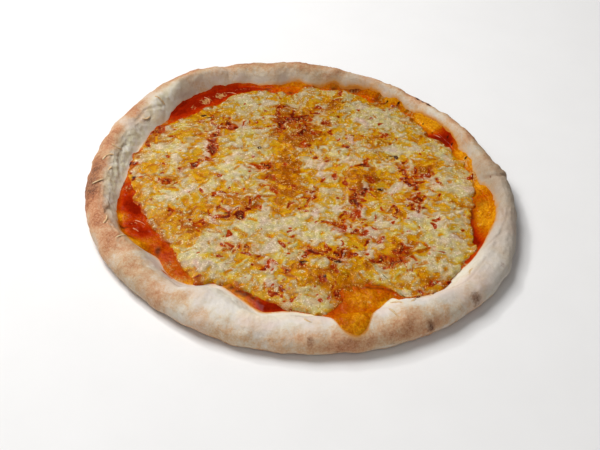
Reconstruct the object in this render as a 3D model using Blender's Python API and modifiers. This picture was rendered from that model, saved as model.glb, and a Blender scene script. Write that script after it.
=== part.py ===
"""Margherita pizza: a round of baked dough with a puffed rim, tomato sauce and melted cheese.

Metres, +Z up. The flat underside lies at z = 0 and the origin is under the middle of the outline.
Directions are degrees anticlockwise seen from above: 0 is +X, -90 is the side nearest the viewer.
"""
import math

import bmesh
import bpy
import numpy as np
from mathutils import Vector
from mathutils.bvhtree import BVHTree

# Driving dimensions of the whole
MM = 0.001
DIAMETER = 320 * MM
RIM_WIDTH = 27 * MM
RIM_HEIGHT = 18.5 * MM
BASE_THICKNESS = 4.2 * MM
SAUCE_THICKNESS = 1.3 * MM
CHEESE_THICKNESS = 2.9 * MM
GAP = 0.35 * MM
STEPS = 112

# The rim's section, as shares of its width and height
CREST_SHARE = 0.56
WIDEST_SHARE = 0.42
UNDERCUT = 7.5 * MM
SLOPE_POWER = 0.8

# The outer edge: direction and how far it stands out from, or in from, a true circle, in mm
OUTLINE = (
    (-155, -5), (-130, -7), (-110, -4), (-85, -0.5), (-65, 3.5), (-45, 6.5), (-30, 8.5), (-15, 2.5),
    (0, -0.5), (20, -8), (40, -9.5), (60, -10.5), (80, -3), (100, 3), (112, 8.5), (127, 11.5),
    (140, 8.5), (150, 3.5), (165, -0.5), (-175, -3),
)
# The foot of the rim's inner slope: direction and width of rim there, in mm
RIM_FOOT = (
    (-170, 25), (-158, 24), (-151, 32), (-143, 33), (-131, 28), (-124, 31), (-117, 44), (-109, 40),
    (-101, 31), (-91, 38), (-80, 35), (-70, 33), (-60, 40), (-52, 32), (-44, 28), (-34, 31),
    (-24, 31), (-13, 21), (-1, 18), (9, 24), (22, 18), (34, 17), (47, 18), (58, 16), (67, 14),
    (77, 18), (87, 26), (94, 22), (100, 28), (108, 23), (117, 25), (125, 22), (135, 29), (144, 34),
    (157, 27), (170, 29),
)
# Swells and dips of the rim's top: direction, half width in degrees, rise in mm
RIM_SWELLS = (
    (-150, 16, -0.8), (-117, 11, 1.6), (-92, 9, -1.2), (-60, 12, 1.0), (-28, 10, -1.0), (9, 4, 2.0),
    (16, 5, -1.4), (38, 14, -1.5), (62, 8, 0.8), (92, 12, 1.2), (113, 4, -1.8), (128, 12, 1.6),
    (160, 12, 0.8), (178, 8, -1.0),
)
# Folds along the rim: first and last direction, share of the way across, half width and depth in mm
RIM_FOLDS = (
    (-104, -76, 0.36, 4, 1.3), (140, 178, 0.42, 5, 1.6), (-42, -14, 0.55, 4, 1.1), (96, 122, 0.4, 5, 1.0),
    (-150, -122, 0.5, 5, 0.9), (22, 58, 0.5, 4, 0.9),
)
# Lumps and dimples of the baked rim
LUMP_SEED = 7
LUMP_COUNT = 70
LUMP_RADIUS = (6 * MM, 13 * MM)
LUMP_RISE = (-0.9 * MM, 0.8 * MM)
# Where the cheese stops short and bare sauce shows: direction, half width in degrees, depth in mm
SAUCE_POOLS = (
    (-166, 24, 12), (-143, 9, 9), (-104, 13, 13), (-72, 15, 17), (-13, 15, 12), (34, 13, 9),
    (92, 5, 4), (104, 10, 7), (123, 19, 12),
)
# Where sauce and oil run up on the rim: direction, half width in degrees, reach in mm
SAUCE_RUNS = ((-74, 8, 27), (-10, 12, 3), (65, 4, 3), (81, 5, 3), (93, 4, 3), (124, 12, 2))
SAUCE_MARGIN = 2.0 * MM
CHEESE_MARGIN = 2.5 * MM

# Relief of the melted cheese
RELIEF_SEED = 41
MOUND_COUNT = 150
MOUND_RADIUS = (5 * MM, 13 * MM)
MOUND_RISE = (-1.2 * MM, 1.3 * MM)
BUBBLES = ((46, 14, 15, 2.2), (101, 30, 10, 1.8), (-52, 62, 12, 1.6), (18, -86, 13, 1.5), (-95, 30, 12, 1.4))
CHEESE_RINGS = 17
CHEESE_EDGE_ROLL = 7 * MM

# Loose shreds of cheese baked onto the rim: direction, share of the way up and over it, turn, length
SHREDS = (
    (171, 0.58, 55, 11), (166, 0.45, 10, 8), (176, 0.40, 80, 7), (-177, 0.62, 30, 9), (-160, 0.50, 60, 9),
    (-152, 0.46, 20, 10), (-64, 0.62, 12, 13), (-61, 0.34, 15, 12), (-57, 0.44, 120, 10), (-52, 0.30, 40, 9),
    (148, 0.34, 75, 8), (139, 0.42, 20, 9), (-37, 0.36, 100, 8), (-87, 0.50, 30, 8),
)
SHRED_HALF_WIDTH = 0.7 * MM
SHRED_ROUNDING = 0.45 * MM
SHRED_POINTS = 4

# Nominal radii, before the dough is stretched to its real outline
R_OUTER = DIAMETER / 2
R_SAUCE = R_OUTER - RIM_WIDTH + SAUCE_MARGIN
R_CHEESE = R_OUTER - RIM_WIDTH - CHEESE_MARGIN
SAUCE_EDGE = 1.0 * MM

DOUGH_COLOUR = (0.72, 0.52, 0.31, 1.0)
SAUCE_COLOUR = (0.55, 0.06, 0.01, 1.0)
CHEESE_COLOUR = (0.78, 0.58, 0.20, 1.0)


def remove_everything():
    for item in list(bpy.data.objects):
        bpy.data.objects.remove(item)


def new_collection(name):
    group = bpy.data.collections.new(name)
    bpy.context.scene.collection.children.link(group)
    return group


def material(name, colour, roughness):
    made = bpy.data.materials.new(name)
    made.use_nodes = True
    shader = made.node_tree.nodes["Principled BSDF"]
    shader.inputs["Base Color"].default_value = colour
    shader.inputs["Roughness"].default_value = roughness
    shader.inputs["Metallic"].default_value = 0.0
    return made


def closed_curve(points, softness=4):
    """Value by direction, straight between the points and then rounded over a few degrees."""
    ordered = sorted(points)
    directions = [point[0] for point in ordered]
    values = [point[1] for point in ordered]
    degrees = np.arange(-180, 180)
    line = np.interp(degrees, directions, values, period=360)
    window = np.hanning(2 * softness + 3)[1:-1]
    rounded = sum(weight * np.roll(line, shift - softness) for shift, weight in enumerate(window))
    rounded = rounded / window.sum()
    return lambda angle: np.interp(angle, degrees, rounded, period=360) * MM


def bells(features, angle):
    """Sum of smooth swells, each given by direction, half width and height."""
    total = np.zeros_like(np.asarray(angle, float))
    for direction, half_width, height in features:
        away = (angle - direction + 180) % 360 - 180
        total += height * MM * np.exp(-((away / half_width) ** 2) * 1.4)
    return total


outline_offset = closed_curve(OUTLINE)
foot_width = closed_curve(RIM_FOOT, softness=2)


def outer_radius(angle):
    return R_OUTER + outline_offset(angle)


def foot_radius(angle):
    return outer_radius(angle) - foot_width(angle)


def crest_radius(angle):
    return foot_radius(angle) + CREST_SHARE * foot_width(angle)


def rim_height(angle):
    return RIM_HEIGHT + bells(RIM_SWELLS, angle)


def sauce_radius(angle):
    return foot_radius(angle) + SAUCE_MARGIN + bells(SAUCE_RUNS, angle)


def cheese_radius(angle):
    return foot_radius(angle) - CHEESE_MARGIN - bells(SAUCE_POOLS, angle)


def folds(radius, angle):
    """Depth of the long shallow folds that run along the rim."""
    depth = np.zeros_like(np.asarray(radius, float))
    for first, last, share, half_width, deepest in RIM_FOLDS:
        length = last - first
        along = np.clip(((angle - first) % 360) / length, 0, 1)
        middle = foot_radius(angle) + share * foot_width(angle)
        across = (radius - middle) / (half_width * MM)
        depth += deepest * MM * np.sin(np.pi * along) * np.exp(-across ** 2)
    return depth


def mound_rule(table):
    """Height of a field of round mounds, each given by x, y, radius and rise."""

    def height(x, y):
        away = (table[:, 0] - x) ** 2 + (table[:, 1] - y) ** 2
        return float(np.sum(table[:, 3] * np.exp(-away / table[:, 2] ** 2)))

    return height


def rim_lumps():
    random = np.random.default_rng(LUMP_SEED)
    angle = random.uniform(-180, 180, LUMP_COUNT)
    radius = foot_radius(angle) + foot_width(angle) * random.uniform(0.1, 0.9, LUMP_COUNT)
    turn = np.radians(angle)
    sizes = random.uniform(*LUMP_RADIUS, LUMP_COUNT)
    rises = random.uniform(*LUMP_RISE, LUMP_COUNT)
    return mound_rule(np.column_stack((radius * np.cos(turn), radius * np.sin(turn), sizes, rises)))


lump_height = rim_lumps()


def dough_top(radius, angle):
    """Height of the dough's upper side, from the flat floor over the crest to the widest point."""
    height = rim_height(angle)
    widest = WIDEST_SHARE * height
    foot = foot_radius(angle)
    crest = crest_radius(angle)
    rise = np.clip((radius - foot) / (crest - foot), 0, 1) ** SLOPE_POWER
    fall = np.clip((radius - crest) / (outer_radius(angle) - crest), 0, 1)
    inner = BASE_THICKNESS + (height - BASE_THICKNESS) * (0.5 - 0.5 * np.cos(np.pi * rise))
    outer = widest + (height - widest) * np.sqrt(1 - fall ** 2)
    surface = np.where(radius < crest, inner, outer)
    turn = math.radians(angle)
    relief = lump_height(radius * math.cos(turn), radius * math.sin(turn)) - folds(radius, angle)
    fade = min(1.0, rise * 2) * (1 - fall ** 4)
    return surface + relief * fade


def stretched_radius(radius, angle):
    """Real radius of a nominal one: the dough is pulled out by hand, so no ring is round."""
    stations = (0, R_CHEESE, R_SAUCE, R_OUTER)
    real = (0, cheese_radius(angle), sauce_radius(angle), outer_radius(angle))
    return float(np.interp(radius, stations, real))


def turned(name, profile):
    """Mesh turned from a profile by the Screw modifier, its quads split the same way in each layer."""
    flat = bpy.data.meshes.new(name)
    flat.from_pydata([(r, 0, z) for r, z in profile], [(i, i + 1) for i in range(len(profile) - 1)], [])
    blank = bpy.data.objects.new(name, flat)
    bpy.context.scene.collection.objects.link(blank)
    screw = blank.modifiers.new("turn", "SCREW")
    screw.steps = STEPS
    screw.render_steps = STEPS
    screw.use_merge_vertices = True
    screw.merge_threshold = 0.00005
    screw.use_smooth_shade = True
    graph = bpy.context.evaluated_depsgraph_get()
    mesh = bpy.data.meshes.new_from_object(blank.evaluated_get(graph))
    bpy.data.objects.remove(blank)
    split_quads(mesh)
    return mesh


def split_quads(mesh):
    """Cut each quad from its inner corner at the lower direction, so facing layers stay parallel."""
    shape = bmesh.new()
    shape.from_mesh(mesh)
    for face in [face for face in shape.faces if len(face.verts) == 4]:
        first, second = sorted(face.verts, key=lambda v: (round(v.co.xy.length, 7), -round(v.co.z, 7)))[:2]
        start = first if first.co.x * second.co.y - first.co.y * second.co.x > 0 else second
        corner = list(face.verts).index(start)
        bmesh.utils.face_split(face, start, face.verts[(corner + 2) % 4])
    bmesh.ops.recalc_face_normals(shape, faces=shape.faces)
    shape.to_mesh(mesh)
    shape.free()


def shaped(mesh, height_rule):
    """Stretch a turned mesh to the real outlines, with each height given by a rule."""
    for vertex in mesh.vertices:
        nominal = math.hypot(vertex.co.x, vertex.co.y)
        angle = math.degrees(math.atan2(vertex.co.y, vertex.co.x))
        radius = stretched_radius(nominal, angle)
        share = radius / nominal if nominal > 0 else 0
        height = height_rule(nominal, vertex.co.z, radius, angle)
        vertex.co = Vector((vertex.co.x * share, vertex.co.y * share, height))
    return mesh


def bed_rings():
    """Nominal radii of the rings that the dough's floor and both sides of the sauce share."""
    inner = [R_CHEESE * share for share in (0.45, 0.85, 1.0)]
    between = [R_CHEESE + (R_SAUCE - R_CHEESE) * share for share in (0.25, 0.5, 0.75)]
    return inner + between + [R_SAUCE]


def crust_mesh():
    top = [(0, BASE_THICKNESS)] + [(radius, BASE_THICKNESS) for radius in bed_rings()]
    rim_steps = 8
    for step in range(1, rim_steps + 1):
        share = math.sin(step / rim_steps * math.pi / 2)
        top.append((R_SAUCE + (R_OUTER - R_SAUCE) * share, BASE_THICKNESS))
    widest = WIDEST_SHARE * RIM_HEIGHT
    under_steps = 4
    under = []
    for step in range(1, under_steps + 1):
        turn = step / under_steps * math.pi / 2
        radius = R_OUTER - UNDERCUT * (1 - math.cos(turn))
        under.append((radius, -widest * math.sin(turn)))
    bottom = (0, -widest)
    mesh = turned("crust", top + under + [bottom])

    def height(nominal, level, radius, angle):
        if level > 0:
            return float(dough_top(radius, angle))
        return float((level + widest) * rim_height(angle) / RIM_HEIGHT)

    return shaped(mesh, height)


def sauce_mesh():
    rings = bed_rings()
    top = [(0, SAUCE_THICKNESS)] + [(radius, SAUCE_THICKNESS) for radius in rings[:-1]]
    top.append((R_SAUCE - SAUCE_EDGE, SAUCE_THICKNESS * 0.9))
    under = [(radius, 0) for radius in reversed(rings)] + [(0, 0)]
    mesh = turned("sauce", top + under)

    def height(nominal, level, radius, angle):
        return float(dough_top(radius, angle)) + GAP + level

    return shaped(mesh, height)


def cheese_relief():
    """Rule for the lumps of melted cheese, from seeded mounds and a few large bubbles."""
    random = np.random.default_rng(RELIEF_SEED)
    spread = np.sqrt(random.uniform(0, 1, MOUND_COUNT)) * R_CHEESE
    turn = random.uniform(0, 2 * np.pi, MOUND_COUNT)
    radii = random.uniform(*MOUND_RADIUS, MOUND_COUNT)
    rises = random.uniform(*MOUND_RISE, MOUND_COUNT)
    mounds = list(zip(spread * np.cos(turn), spread * np.sin(turn), radii, rises))
    mounds += [(x * MM, y * MM, radius * MM, rise * MM) for x, y, radius, rise in BUBBLES]
    return mound_rule(np.array(mounds))


def cheese_mesh():
    relief = cheese_relief()
    bed = BASE_THICKNESS + SAUCE_THICKNESS + 2 * GAP
    top = [(0, 1)] + [(R_CHEESE * ring / CHEESE_RINGS, 1) for ring in range(1, CHEESE_RINGS)]
    top += [(R_CHEESE - 2 * MM, 0.8), (R_CHEESE, 0.45)]
    under = [(R_CHEESE - 1 * MM, 0), (R_CHEESE * 0.5, 0), (0, 0)]
    mesh = turned("cheese", top + under)

    def height(nominal, level, radius, angle):
        if level == 0:
            return bed
        roll = min(1.0, (R_CHEESE - nominal) / CHEESE_EDGE_ROLL + 0.35)
        x = radius * math.cos(math.radians(angle))
        y = radius * math.sin(math.radians(angle))
        return bed + level * (CHEESE_THICKNESS + relief(x, y)) * roll ** 0.5

    return shaped(mesh, height)


def add_object(mesh, name, finish, group):
    made = bpy.data.objects.new(name, mesh)
    made.data.materials.clear()
    made.data.materials.append(finish)
    made.data.shade_smooth()
    made.data.set_sharp_from_angle(angle=math.radians(50))
    group.objects.link(made)
    return made


def shred_path(tree, direction, share, turn, length):
    """Points of a shred, laid over the rim with a slight bend and sunk to half its thickness."""
    angle = math.radians(direction)
    radius = float(foot_radius(direction) + share * foot_width(direction))
    middle = Vector((radius * math.cos(angle), radius * math.sin(angle), 0))
    heading = angle + math.radians(turn)
    along = Vector((math.cos(heading), math.sin(heading), 0))
    aside = Vector((-along.y, along.x, 0))
    points = []
    for step in range(SHRED_POINTS):
        reach = step / (SHRED_POINTS - 1) - 0.5
        bend = 0.18 * math.cos(reach * math.pi)
        spot = middle + (along * reach + aside * bend) * length * MM
        hit = tree.ray_cast(spot + Vector((0, 0, 0.1)), Vector((0, 0, -1)))
        points.append(hit[0] + hit[1] * SHRED_ROUNDING * 0.4)
    return points


def shred_object(points, name, finish, group):
    curve = bpy.data.curves.new(name, "CURVE")
    curve.dimensions = "3D"
    curve.bevel_depth = SHRED_ROUNDING
    curve.bevel_resolution = 1
    curve.extrude = SHRED_HALF_WIDTH
    curve.use_fill_caps = True
    line = curve.splines.new("POLY")
    line.points.add(len(points) - 1)
    for target, point in zip(line.points, points):
        target.co = (*point, 1)
        target.tilt = math.pi / 2
    tube = bpy.data.objects.new(name, curve)
    group.objects.link(tube)
    graph = bpy.context.evaluated_depsgraph_get()
    mesh = bpy.data.meshes.new_from_object(tube.evaluated_get(graph))
    bpy.data.objects.remove(tube)
    weld(mesh)
    return add_object(mesh, name, finish, group)


def weld(mesh):
    shape = bmesh.new()
    shape.from_mesh(mesh)
    bmesh.ops.remove_doubles(shape, verts=shape.verts, dist=0.00001)
    bmesh.ops.recalc_face_normals(shape, faces=shape.faces)
    shape.to_mesh(mesh)
    shape.free()


def fuse_shreds(crust, finish, helpers):
    """Join the shreds of cheese to the rim they are baked onto."""
    shape = bmesh.new()
    shape.from_mesh(crust.data)
    tree = BVHTree.FromBMesh(shape)
    shape.free()
    for number, shred in enumerate(SHREDS):
        shred_object(shred_path(tree, *shred), f"shred_{number}", finish, helpers)
    union = crust.modifiers.new("baked on", "BOOLEAN")
    union.operation = "UNION"
    union.operand_type = "COLLECTION"
    union.collection = helpers
    union.solver = "MANIFOLD"
    graph = bpy.context.evaluated_depsgraph_get()
    fused = bpy.data.meshes.new_from_object(crust.evaluated_get(graph))
    crust.modifiers.clear()
    crust.data = fused
    for item in list(helpers.objects):
        bpy.data.objects.remove(item)


def centre(objects):
    """Bring the middle of the outline over the origin."""
    xs = [vertex.co.x for item in objects for vertex in item.data.vertices]
    ys = [vertex.co.y for item in objects for vertex in item.data.vertices]
    shift = Vector(((min(xs) + max(xs)) / -2, (min(ys) + max(ys)) / -2, 0))
    for item in objects:
        for vertex in item.data.vertices:
            vertex.co += shift


def main():
    remove_everything()
    pizza = new_collection("margherita_pizza")
    helpers = new_collection("helpers")
    dough = material("baked_dough", DOUGH_COLOUR, 0.75)
    sauce = material("tomato_sauce", SAUCE_COLOUR, 0.3)
    cheese = material("melted_cheese", CHEESE_COLOUR, 0.35)
    crust = add_object(crust_mesh(), "crust", dough, pizza)
    fuse_shreds(crust, cheese, helpers)
    parts = [crust]
    parts.append(add_object(sauce_mesh(), "sauce", sauce, pizza))
    parts.append(add_object(cheese_mesh(), "cheese", cheese, pizza))
    centre(parts)
    bpy.data.collections.remove(helpers)


main()
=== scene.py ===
"""Margherita pizza: the looks of the baked dough, the tomato sauce and the melted cheese.

Metres, +Z up. Directions are degrees anticlockwise seen from above, as in the part's own frame:
0 is +X, -90 is the side nearest the viewer. The dough's form is worked out as in the part. The
edges of sauce and cheese are drawn more finely here than there.
"""

import math

import bpy
import numpy as np
from mathutils import Matrix, Vector


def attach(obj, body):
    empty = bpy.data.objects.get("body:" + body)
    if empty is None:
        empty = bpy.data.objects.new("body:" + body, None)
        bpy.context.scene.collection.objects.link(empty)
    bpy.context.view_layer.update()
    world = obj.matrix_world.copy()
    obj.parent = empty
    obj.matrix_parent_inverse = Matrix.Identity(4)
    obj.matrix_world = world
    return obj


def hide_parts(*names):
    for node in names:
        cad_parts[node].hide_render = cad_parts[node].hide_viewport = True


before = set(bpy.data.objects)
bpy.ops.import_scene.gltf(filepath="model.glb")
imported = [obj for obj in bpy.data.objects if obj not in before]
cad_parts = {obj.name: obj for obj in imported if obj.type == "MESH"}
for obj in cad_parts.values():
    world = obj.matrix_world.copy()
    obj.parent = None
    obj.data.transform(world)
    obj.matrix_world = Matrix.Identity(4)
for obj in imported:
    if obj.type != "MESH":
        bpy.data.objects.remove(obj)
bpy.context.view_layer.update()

# Driving dimensions, repeated from the part
MM = 0.001
DIAMETER = 320 * MM
RIM_WIDTH = 27 * MM
RIM_HEIGHT = 18.5 * MM
BASE_THICKNESS = 4.2 * MM
SAUCE_THICKNESS = 1.3 * MM
CHEESE_THICKNESS = 2.9 * MM
CREST_SHARE = 0.56
WIDEST_SHARE = 0.42
UNDERCUT = 7.5 * MM
SLOPE_POWER = 0.8
R_OUTER = DIAMETER / 2
R_CHEESE = R_OUTER - RIM_WIDTH - 2.5 * MM

# The outer edge: direction and how far it stands out from, or in from, a true circle, in mm
OUTLINE = (
    (-155, -5), (-130, -7), (-110, -4), (-85, -0.5), (-65, 3.5), (-45, 6.5), (-30, 8.5), (-15, 2.5),
    (0, -0.5), (20, -8), (40, -9.5), (60, -10.5), (80, -3), (100, 3), (112, 8.5), (127, 11.5), (140, 8.5),
    (150, 3.5), (165, -0.5), (-175, -3),
)
# The foot of the rim's inner slope: direction and width of rim there, in mm
RIM_FOOT = (
    (-170, 25), (-158, 24), (-151, 32), (-143, 33), (-131, 28), (-124, 31), (-117, 44), (-109, 40),
    (-101, 31), (-91, 38), (-80, 35), (-70, 33), (-60, 40), (-52, 32), (-44, 28), (-34, 31), (-24, 31),
    (-13, 21), (-1, 18), (9, 24), (22, 18), (34, 17), (47, 18), (58, 16), (67, 14), (77, 18), (87, 26),
    (94, 22), (100, 28), (108, 23), (117, 25), (125, 22), (135, 29), (144, 34), (157, 27), (170, 29),
)
# Swells and dips of the rim's top: direction, half width in degrees, rise in mm
RIM_SWELLS = (
    (-150, 16, -0.8), (-117, 11, 1.6), (-92, 9, -1.2), (-60, 12, 1.0), (-28, 10, -1.0), (9, 4, 2.0),
    (16, 5, -1.4), (38, 14, -1.5), (62, 8, 0.8), (92, 12, 1.2), (113, 4, -1.8), (128, 12, 1.6),
    (160, 12, 0.8), (178, 8, -1.0),
)
# Folds along the rim: first and last direction, share of the way across, half width and depth in mm
RIM_FOLDS = (
    (-104, -76, 0.36, 4, 1.3), (140, 178, 0.42, 5, 1.6), (-42, -14, 0.55, 4, 1.1), (96, 122, 0.4, 5, 1.0),
    (-150, -122, 0.5, 5, 0.9), (22, 58, 0.5, 4, 0.9),
)
# Low bumps of the rim and mounds of the cheese, strewn as in the part, and the larger bubbles of the
# cheese: x, y, radius and rise in mm
LUMP_SEED = 7
LUMP_COUNT = 70
LUMP_RADIUS = (6 * MM, 13 * MM)
LUMP_RISE = (-0.9 * MM, 0.8 * MM)
RELIEF_SEED = 41
MOUND_COUNT = 150
MOUND_RADIUS = (5 * MM, 13 * MM)
MOUND_RISE = (-1.2 * MM, 1.3 * MM)
BUBBLES = (
    (46, 14, 15, 2.2), (101, 30, 10, 1.8), (-52, 62, 12, 1.6), (18, -86, 13, 1.5), (-95, 30, 12, 1.4),
)


def closed_curve(points, softness=4, step=1):
    """Value by direction, straight between the points and then rounded over some degrees."""
    directions, values = zip(*points)
    degrees = np.arange(-180, 180, step)
    line = np.interp(degrees, directions, values, period=360)
    reach = int(softness / step)
    window = np.hanning(2 * reach + 3)[1:-1]
    rounded = sum(weight * np.roll(line, shift - reach) for shift, weight in enumerate(window))
    rounded = rounded / window.sum()
    return lambda angle: np.interp(angle, degrees, rounded, period=360) * MM


def to_plan(radius, angle):
    turn = np.radians(angle)
    return radius * np.cos(turn), radius * np.sin(turn)


def turn_away(angle, direction):
    return (angle - direction + 180) % 360 - 180


def bells(features, angle):
    """Sum of smooth swells, each given by direction, half width in degrees and height."""
    total = np.zeros_like(np.asarray(angle, float))
    for direction, half_width, height in features:
        total += height * np.exp(-((turn_away(angle, direction) / half_width) ** 2) * 1.4)
    return total


outline_offset = closed_curve(OUTLINE)
foot_width = closed_curve(RIM_FOOT, softness=2)


def outer_radius(angle):
    return R_OUTER + outline_offset(angle)


def foot_radius(angle):
    return outer_radius(angle) - foot_width(angle)


def crest_radius(angle):
    return foot_radius(angle) + CREST_SHARE * foot_width(angle)


def rim_height(angle):
    return RIM_HEIGHT + bells(RIM_SWELLS, angle) * MM


def folds(radius, angle):
    """Depth of the long shallow folds that run along the rim."""
    depth = np.zeros_like(np.asarray(radius, float))
    for first, last, share, half_width, deepest in RIM_FOLDS:
        along = np.clip(((angle - first) % 360) / (last - first), 0, 1)
        middle = foot_radius(angle) + share * foot_width(angle)
        across = (radius - middle) / (half_width * MM)
        depth += deepest * MM * np.sin(np.pi * along) * np.exp(-across ** 2)
    return depth


def mound_field(table, x, y):
    """Height of a field of round mounds, each given by x, y, radius and rise."""
    height = np.zeros_like(x)
    for middle_x, middle_y, radius, rise in table:
        height += rise * np.exp(-((x - middle_x) ** 2 + (y - middle_y) ** 2) / radius ** 2)
    return height


def lump_table():
    random = np.random.default_rng(LUMP_SEED)
    angle = random.uniform(-180, 180, LUMP_COUNT)
    radius = foot_radius(angle) + foot_width(angle) * random.uniform(0.1, 0.9, LUMP_COUNT)
    sizes = random.uniform(*LUMP_RADIUS, LUMP_COUNT)
    rises = random.uniform(*LUMP_RISE, LUMP_COUNT)
    return np.column_stack((*to_plan(radius, angle), sizes, rises))


def mound_table():
    random = np.random.default_rng(RELIEF_SEED)
    spread = np.sqrt(random.uniform(0, 1, MOUND_COUNT)) * R_CHEESE
    turn = random.uniform(0, 2 * np.pi, MOUND_COUNT)
    radii = random.uniform(*MOUND_RADIUS, MOUND_COUNT)
    rises = random.uniform(*MOUND_RISE, MOUND_COUNT)
    mounds = np.column_stack((spread * np.cos(turn), spread * np.sin(turn), radii, rises))
    return np.vstack((mounds, np.array(BUBBLES) * MM))


LUMPS = lump_table()
MOUNDS = mound_table()


def dough_top(radius, angle):
    """Height of the dough's upper side, from the flat floor over the crest to the widest point."""
    height = rim_height(angle)
    widest = WIDEST_SHARE * height
    foot = foot_radius(angle)
    crest = crest_radius(angle)
    rise = np.clip((radius - foot) / (crest - foot), 0, 1) ** SLOPE_POWER
    fall = np.clip((radius - crest) / (outer_radius(angle) - crest), 0, 1)
    inner = BASE_THICKNESS + (height - BASE_THICKNESS) * (0.5 - 0.5 * np.cos(np.pi * rise))
    outer = widest + (height - widest) * np.sqrt(1 - fall ** 2)
    relief = mound_field(LUMPS, *to_plan(radius, angle)) - folds(radius, angle)
    fade = np.minimum(1.0, rise * 2) * (1 - fall ** 4)
    return np.where(radius < crest, inner, outer) + relief * fade


def middle_of_outline():
    """The part is centred on the middle of its outline's box, so every piece moves by this much."""
    angle = np.arange(-180, 180, 0.25)
    x, y = to_plan(outer_radius(angle), angle)
    return np.array(((x.min() + x.max()) / 2, (y.min() + y.max()) / 2, 0.0))


MIDDLE = middle_of_outline()


# Seeded fields on a raster of the whole pizza, from which vertices read their relief and tone
PITCH = 0.5 * MM
HALF_SPAN = 168 * MM
CELLS = int(round(2 * HALF_SPAN / PITCH))
STROKE_POINTS = 26


def blur(field, radius):
    """Gaussian blur of a raster, by its spectrum."""
    rows = np.fft.fftfreq(field.shape[0], PITCH)
    columns = np.fft.rfftfreq(field.shape[1], PITCH)
    spread = 2 * (np.pi * radius) ** 2
    weight = np.exp(-spread * rows[:, None] ** 2) * np.exp(-spread * columns[None, :] ** 2)
    return np.fft.irfft2(np.fft.rfft2(field) * weight, field.shape)


def band_noise(random, fine, coarse, shape=(CELLS, CELLS)):
    """Noise whose blobs measure between two sizes, with a spread of one."""
    white = random.standard_normal(shape)
    field = blur(white, fine * MM / 2) - blur(white, coarse * MM / 2)
    return field / field.std()


def shred_field(random, count, length, width):
    """Grated shreds strewn over the pizza: points along bent strokes, then blurred to their width."""
    reach = np.linspace(-0.5, 0.5, STROKE_POINTS)[None, :]
    radius = np.sqrt(random.uniform(0, 1, (count, 1))) * (HALF_SPAN - FIELD_MARGIN)
    place = random.uniform(0, 2 * np.pi, (count, 1))
    heading = random.uniform(0, np.pi, (count, 1))
    lengths = random.uniform(length[0], length[1], (count, 1)) * MM
    bend = random.uniform(-0.35, 0.35, (count, 1)) * lengths
    along = reach * lengths
    aside = bend * (reach ** 2 * 4 - 0.33)
    x = radius * np.cos(place) + along * np.cos(heading) - aside * np.sin(heading)
    y = radius * np.sin(place) + along * np.sin(heading) + aside * np.cos(heading)
    column = np.clip(((x + HALF_SPAN) / PITCH).astype(int), 0, CELLS - 1)
    row = np.clip(((y + HALF_SPAN) / PITCH).astype(int), 0, CELLS - 1)
    field = np.zeros((CELLS, CELLS))
    np.add.at(field, (row, column), np.broadcast_to(lengths / STROKE_POINTS, x.shape))
    field = blur(field, width * MM / 2)
    return field / field.std()


def between_cells(field, row, column):
    """Value of a raster at rows and columns with fractions. Its columns may close on themselves."""
    low = row.astype(int)
    left = column.astype(int)
    right = (left + 1) % field.shape[1]
    high_share = row - low
    right_share = column - left
    bottom = field[low, left] * (1 - right_share) + field[low, right] * right_share
    top = field[low + 1, left] * (1 - right_share) + field[low + 1, right] * right_share
    return bottom * (1 - high_share) + top * high_share


def read_raster(field, x, y):
    """Value of a raster of the whole pizza at given places."""
    column = np.clip((x + HALF_SPAN) / PITCH - 0.5, 0, CELLS - 1.001)
    row = np.clip((y + HALF_SPAN) / PITCH - 0.5, 0, CELLS - 1.001)
    return between_cells(field, row, column)


def raster_places():
    steps = (np.arange(CELLS) + 0.5) * PITCH - HALF_SPAN
    return np.meshgrid(steps, steps)


def zones(table, x, y):
    """Sum of soft oval zones, each given by x, y, half width and half height in mm and a strength."""
    total = np.zeros_like(x)
    for middle_x, middle_y, half_width, half_height, strength in table:
        across = (x - middle_x * MM) / (half_width * MM)
        up = (y - middle_y * MM) / (half_height * MM)
        total += strength * np.exp(-0.8 * (across ** 2 + up ** 2))
    return total


def ranked(field):
    """The field's values replaced by their rank, from 0 to 1."""
    order = np.argsort(field, axis=None)
    rank = np.empty(field.size)
    rank[order] = np.linspace(0, 1, field.size)
    return rank.reshape(field.shape)


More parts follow.
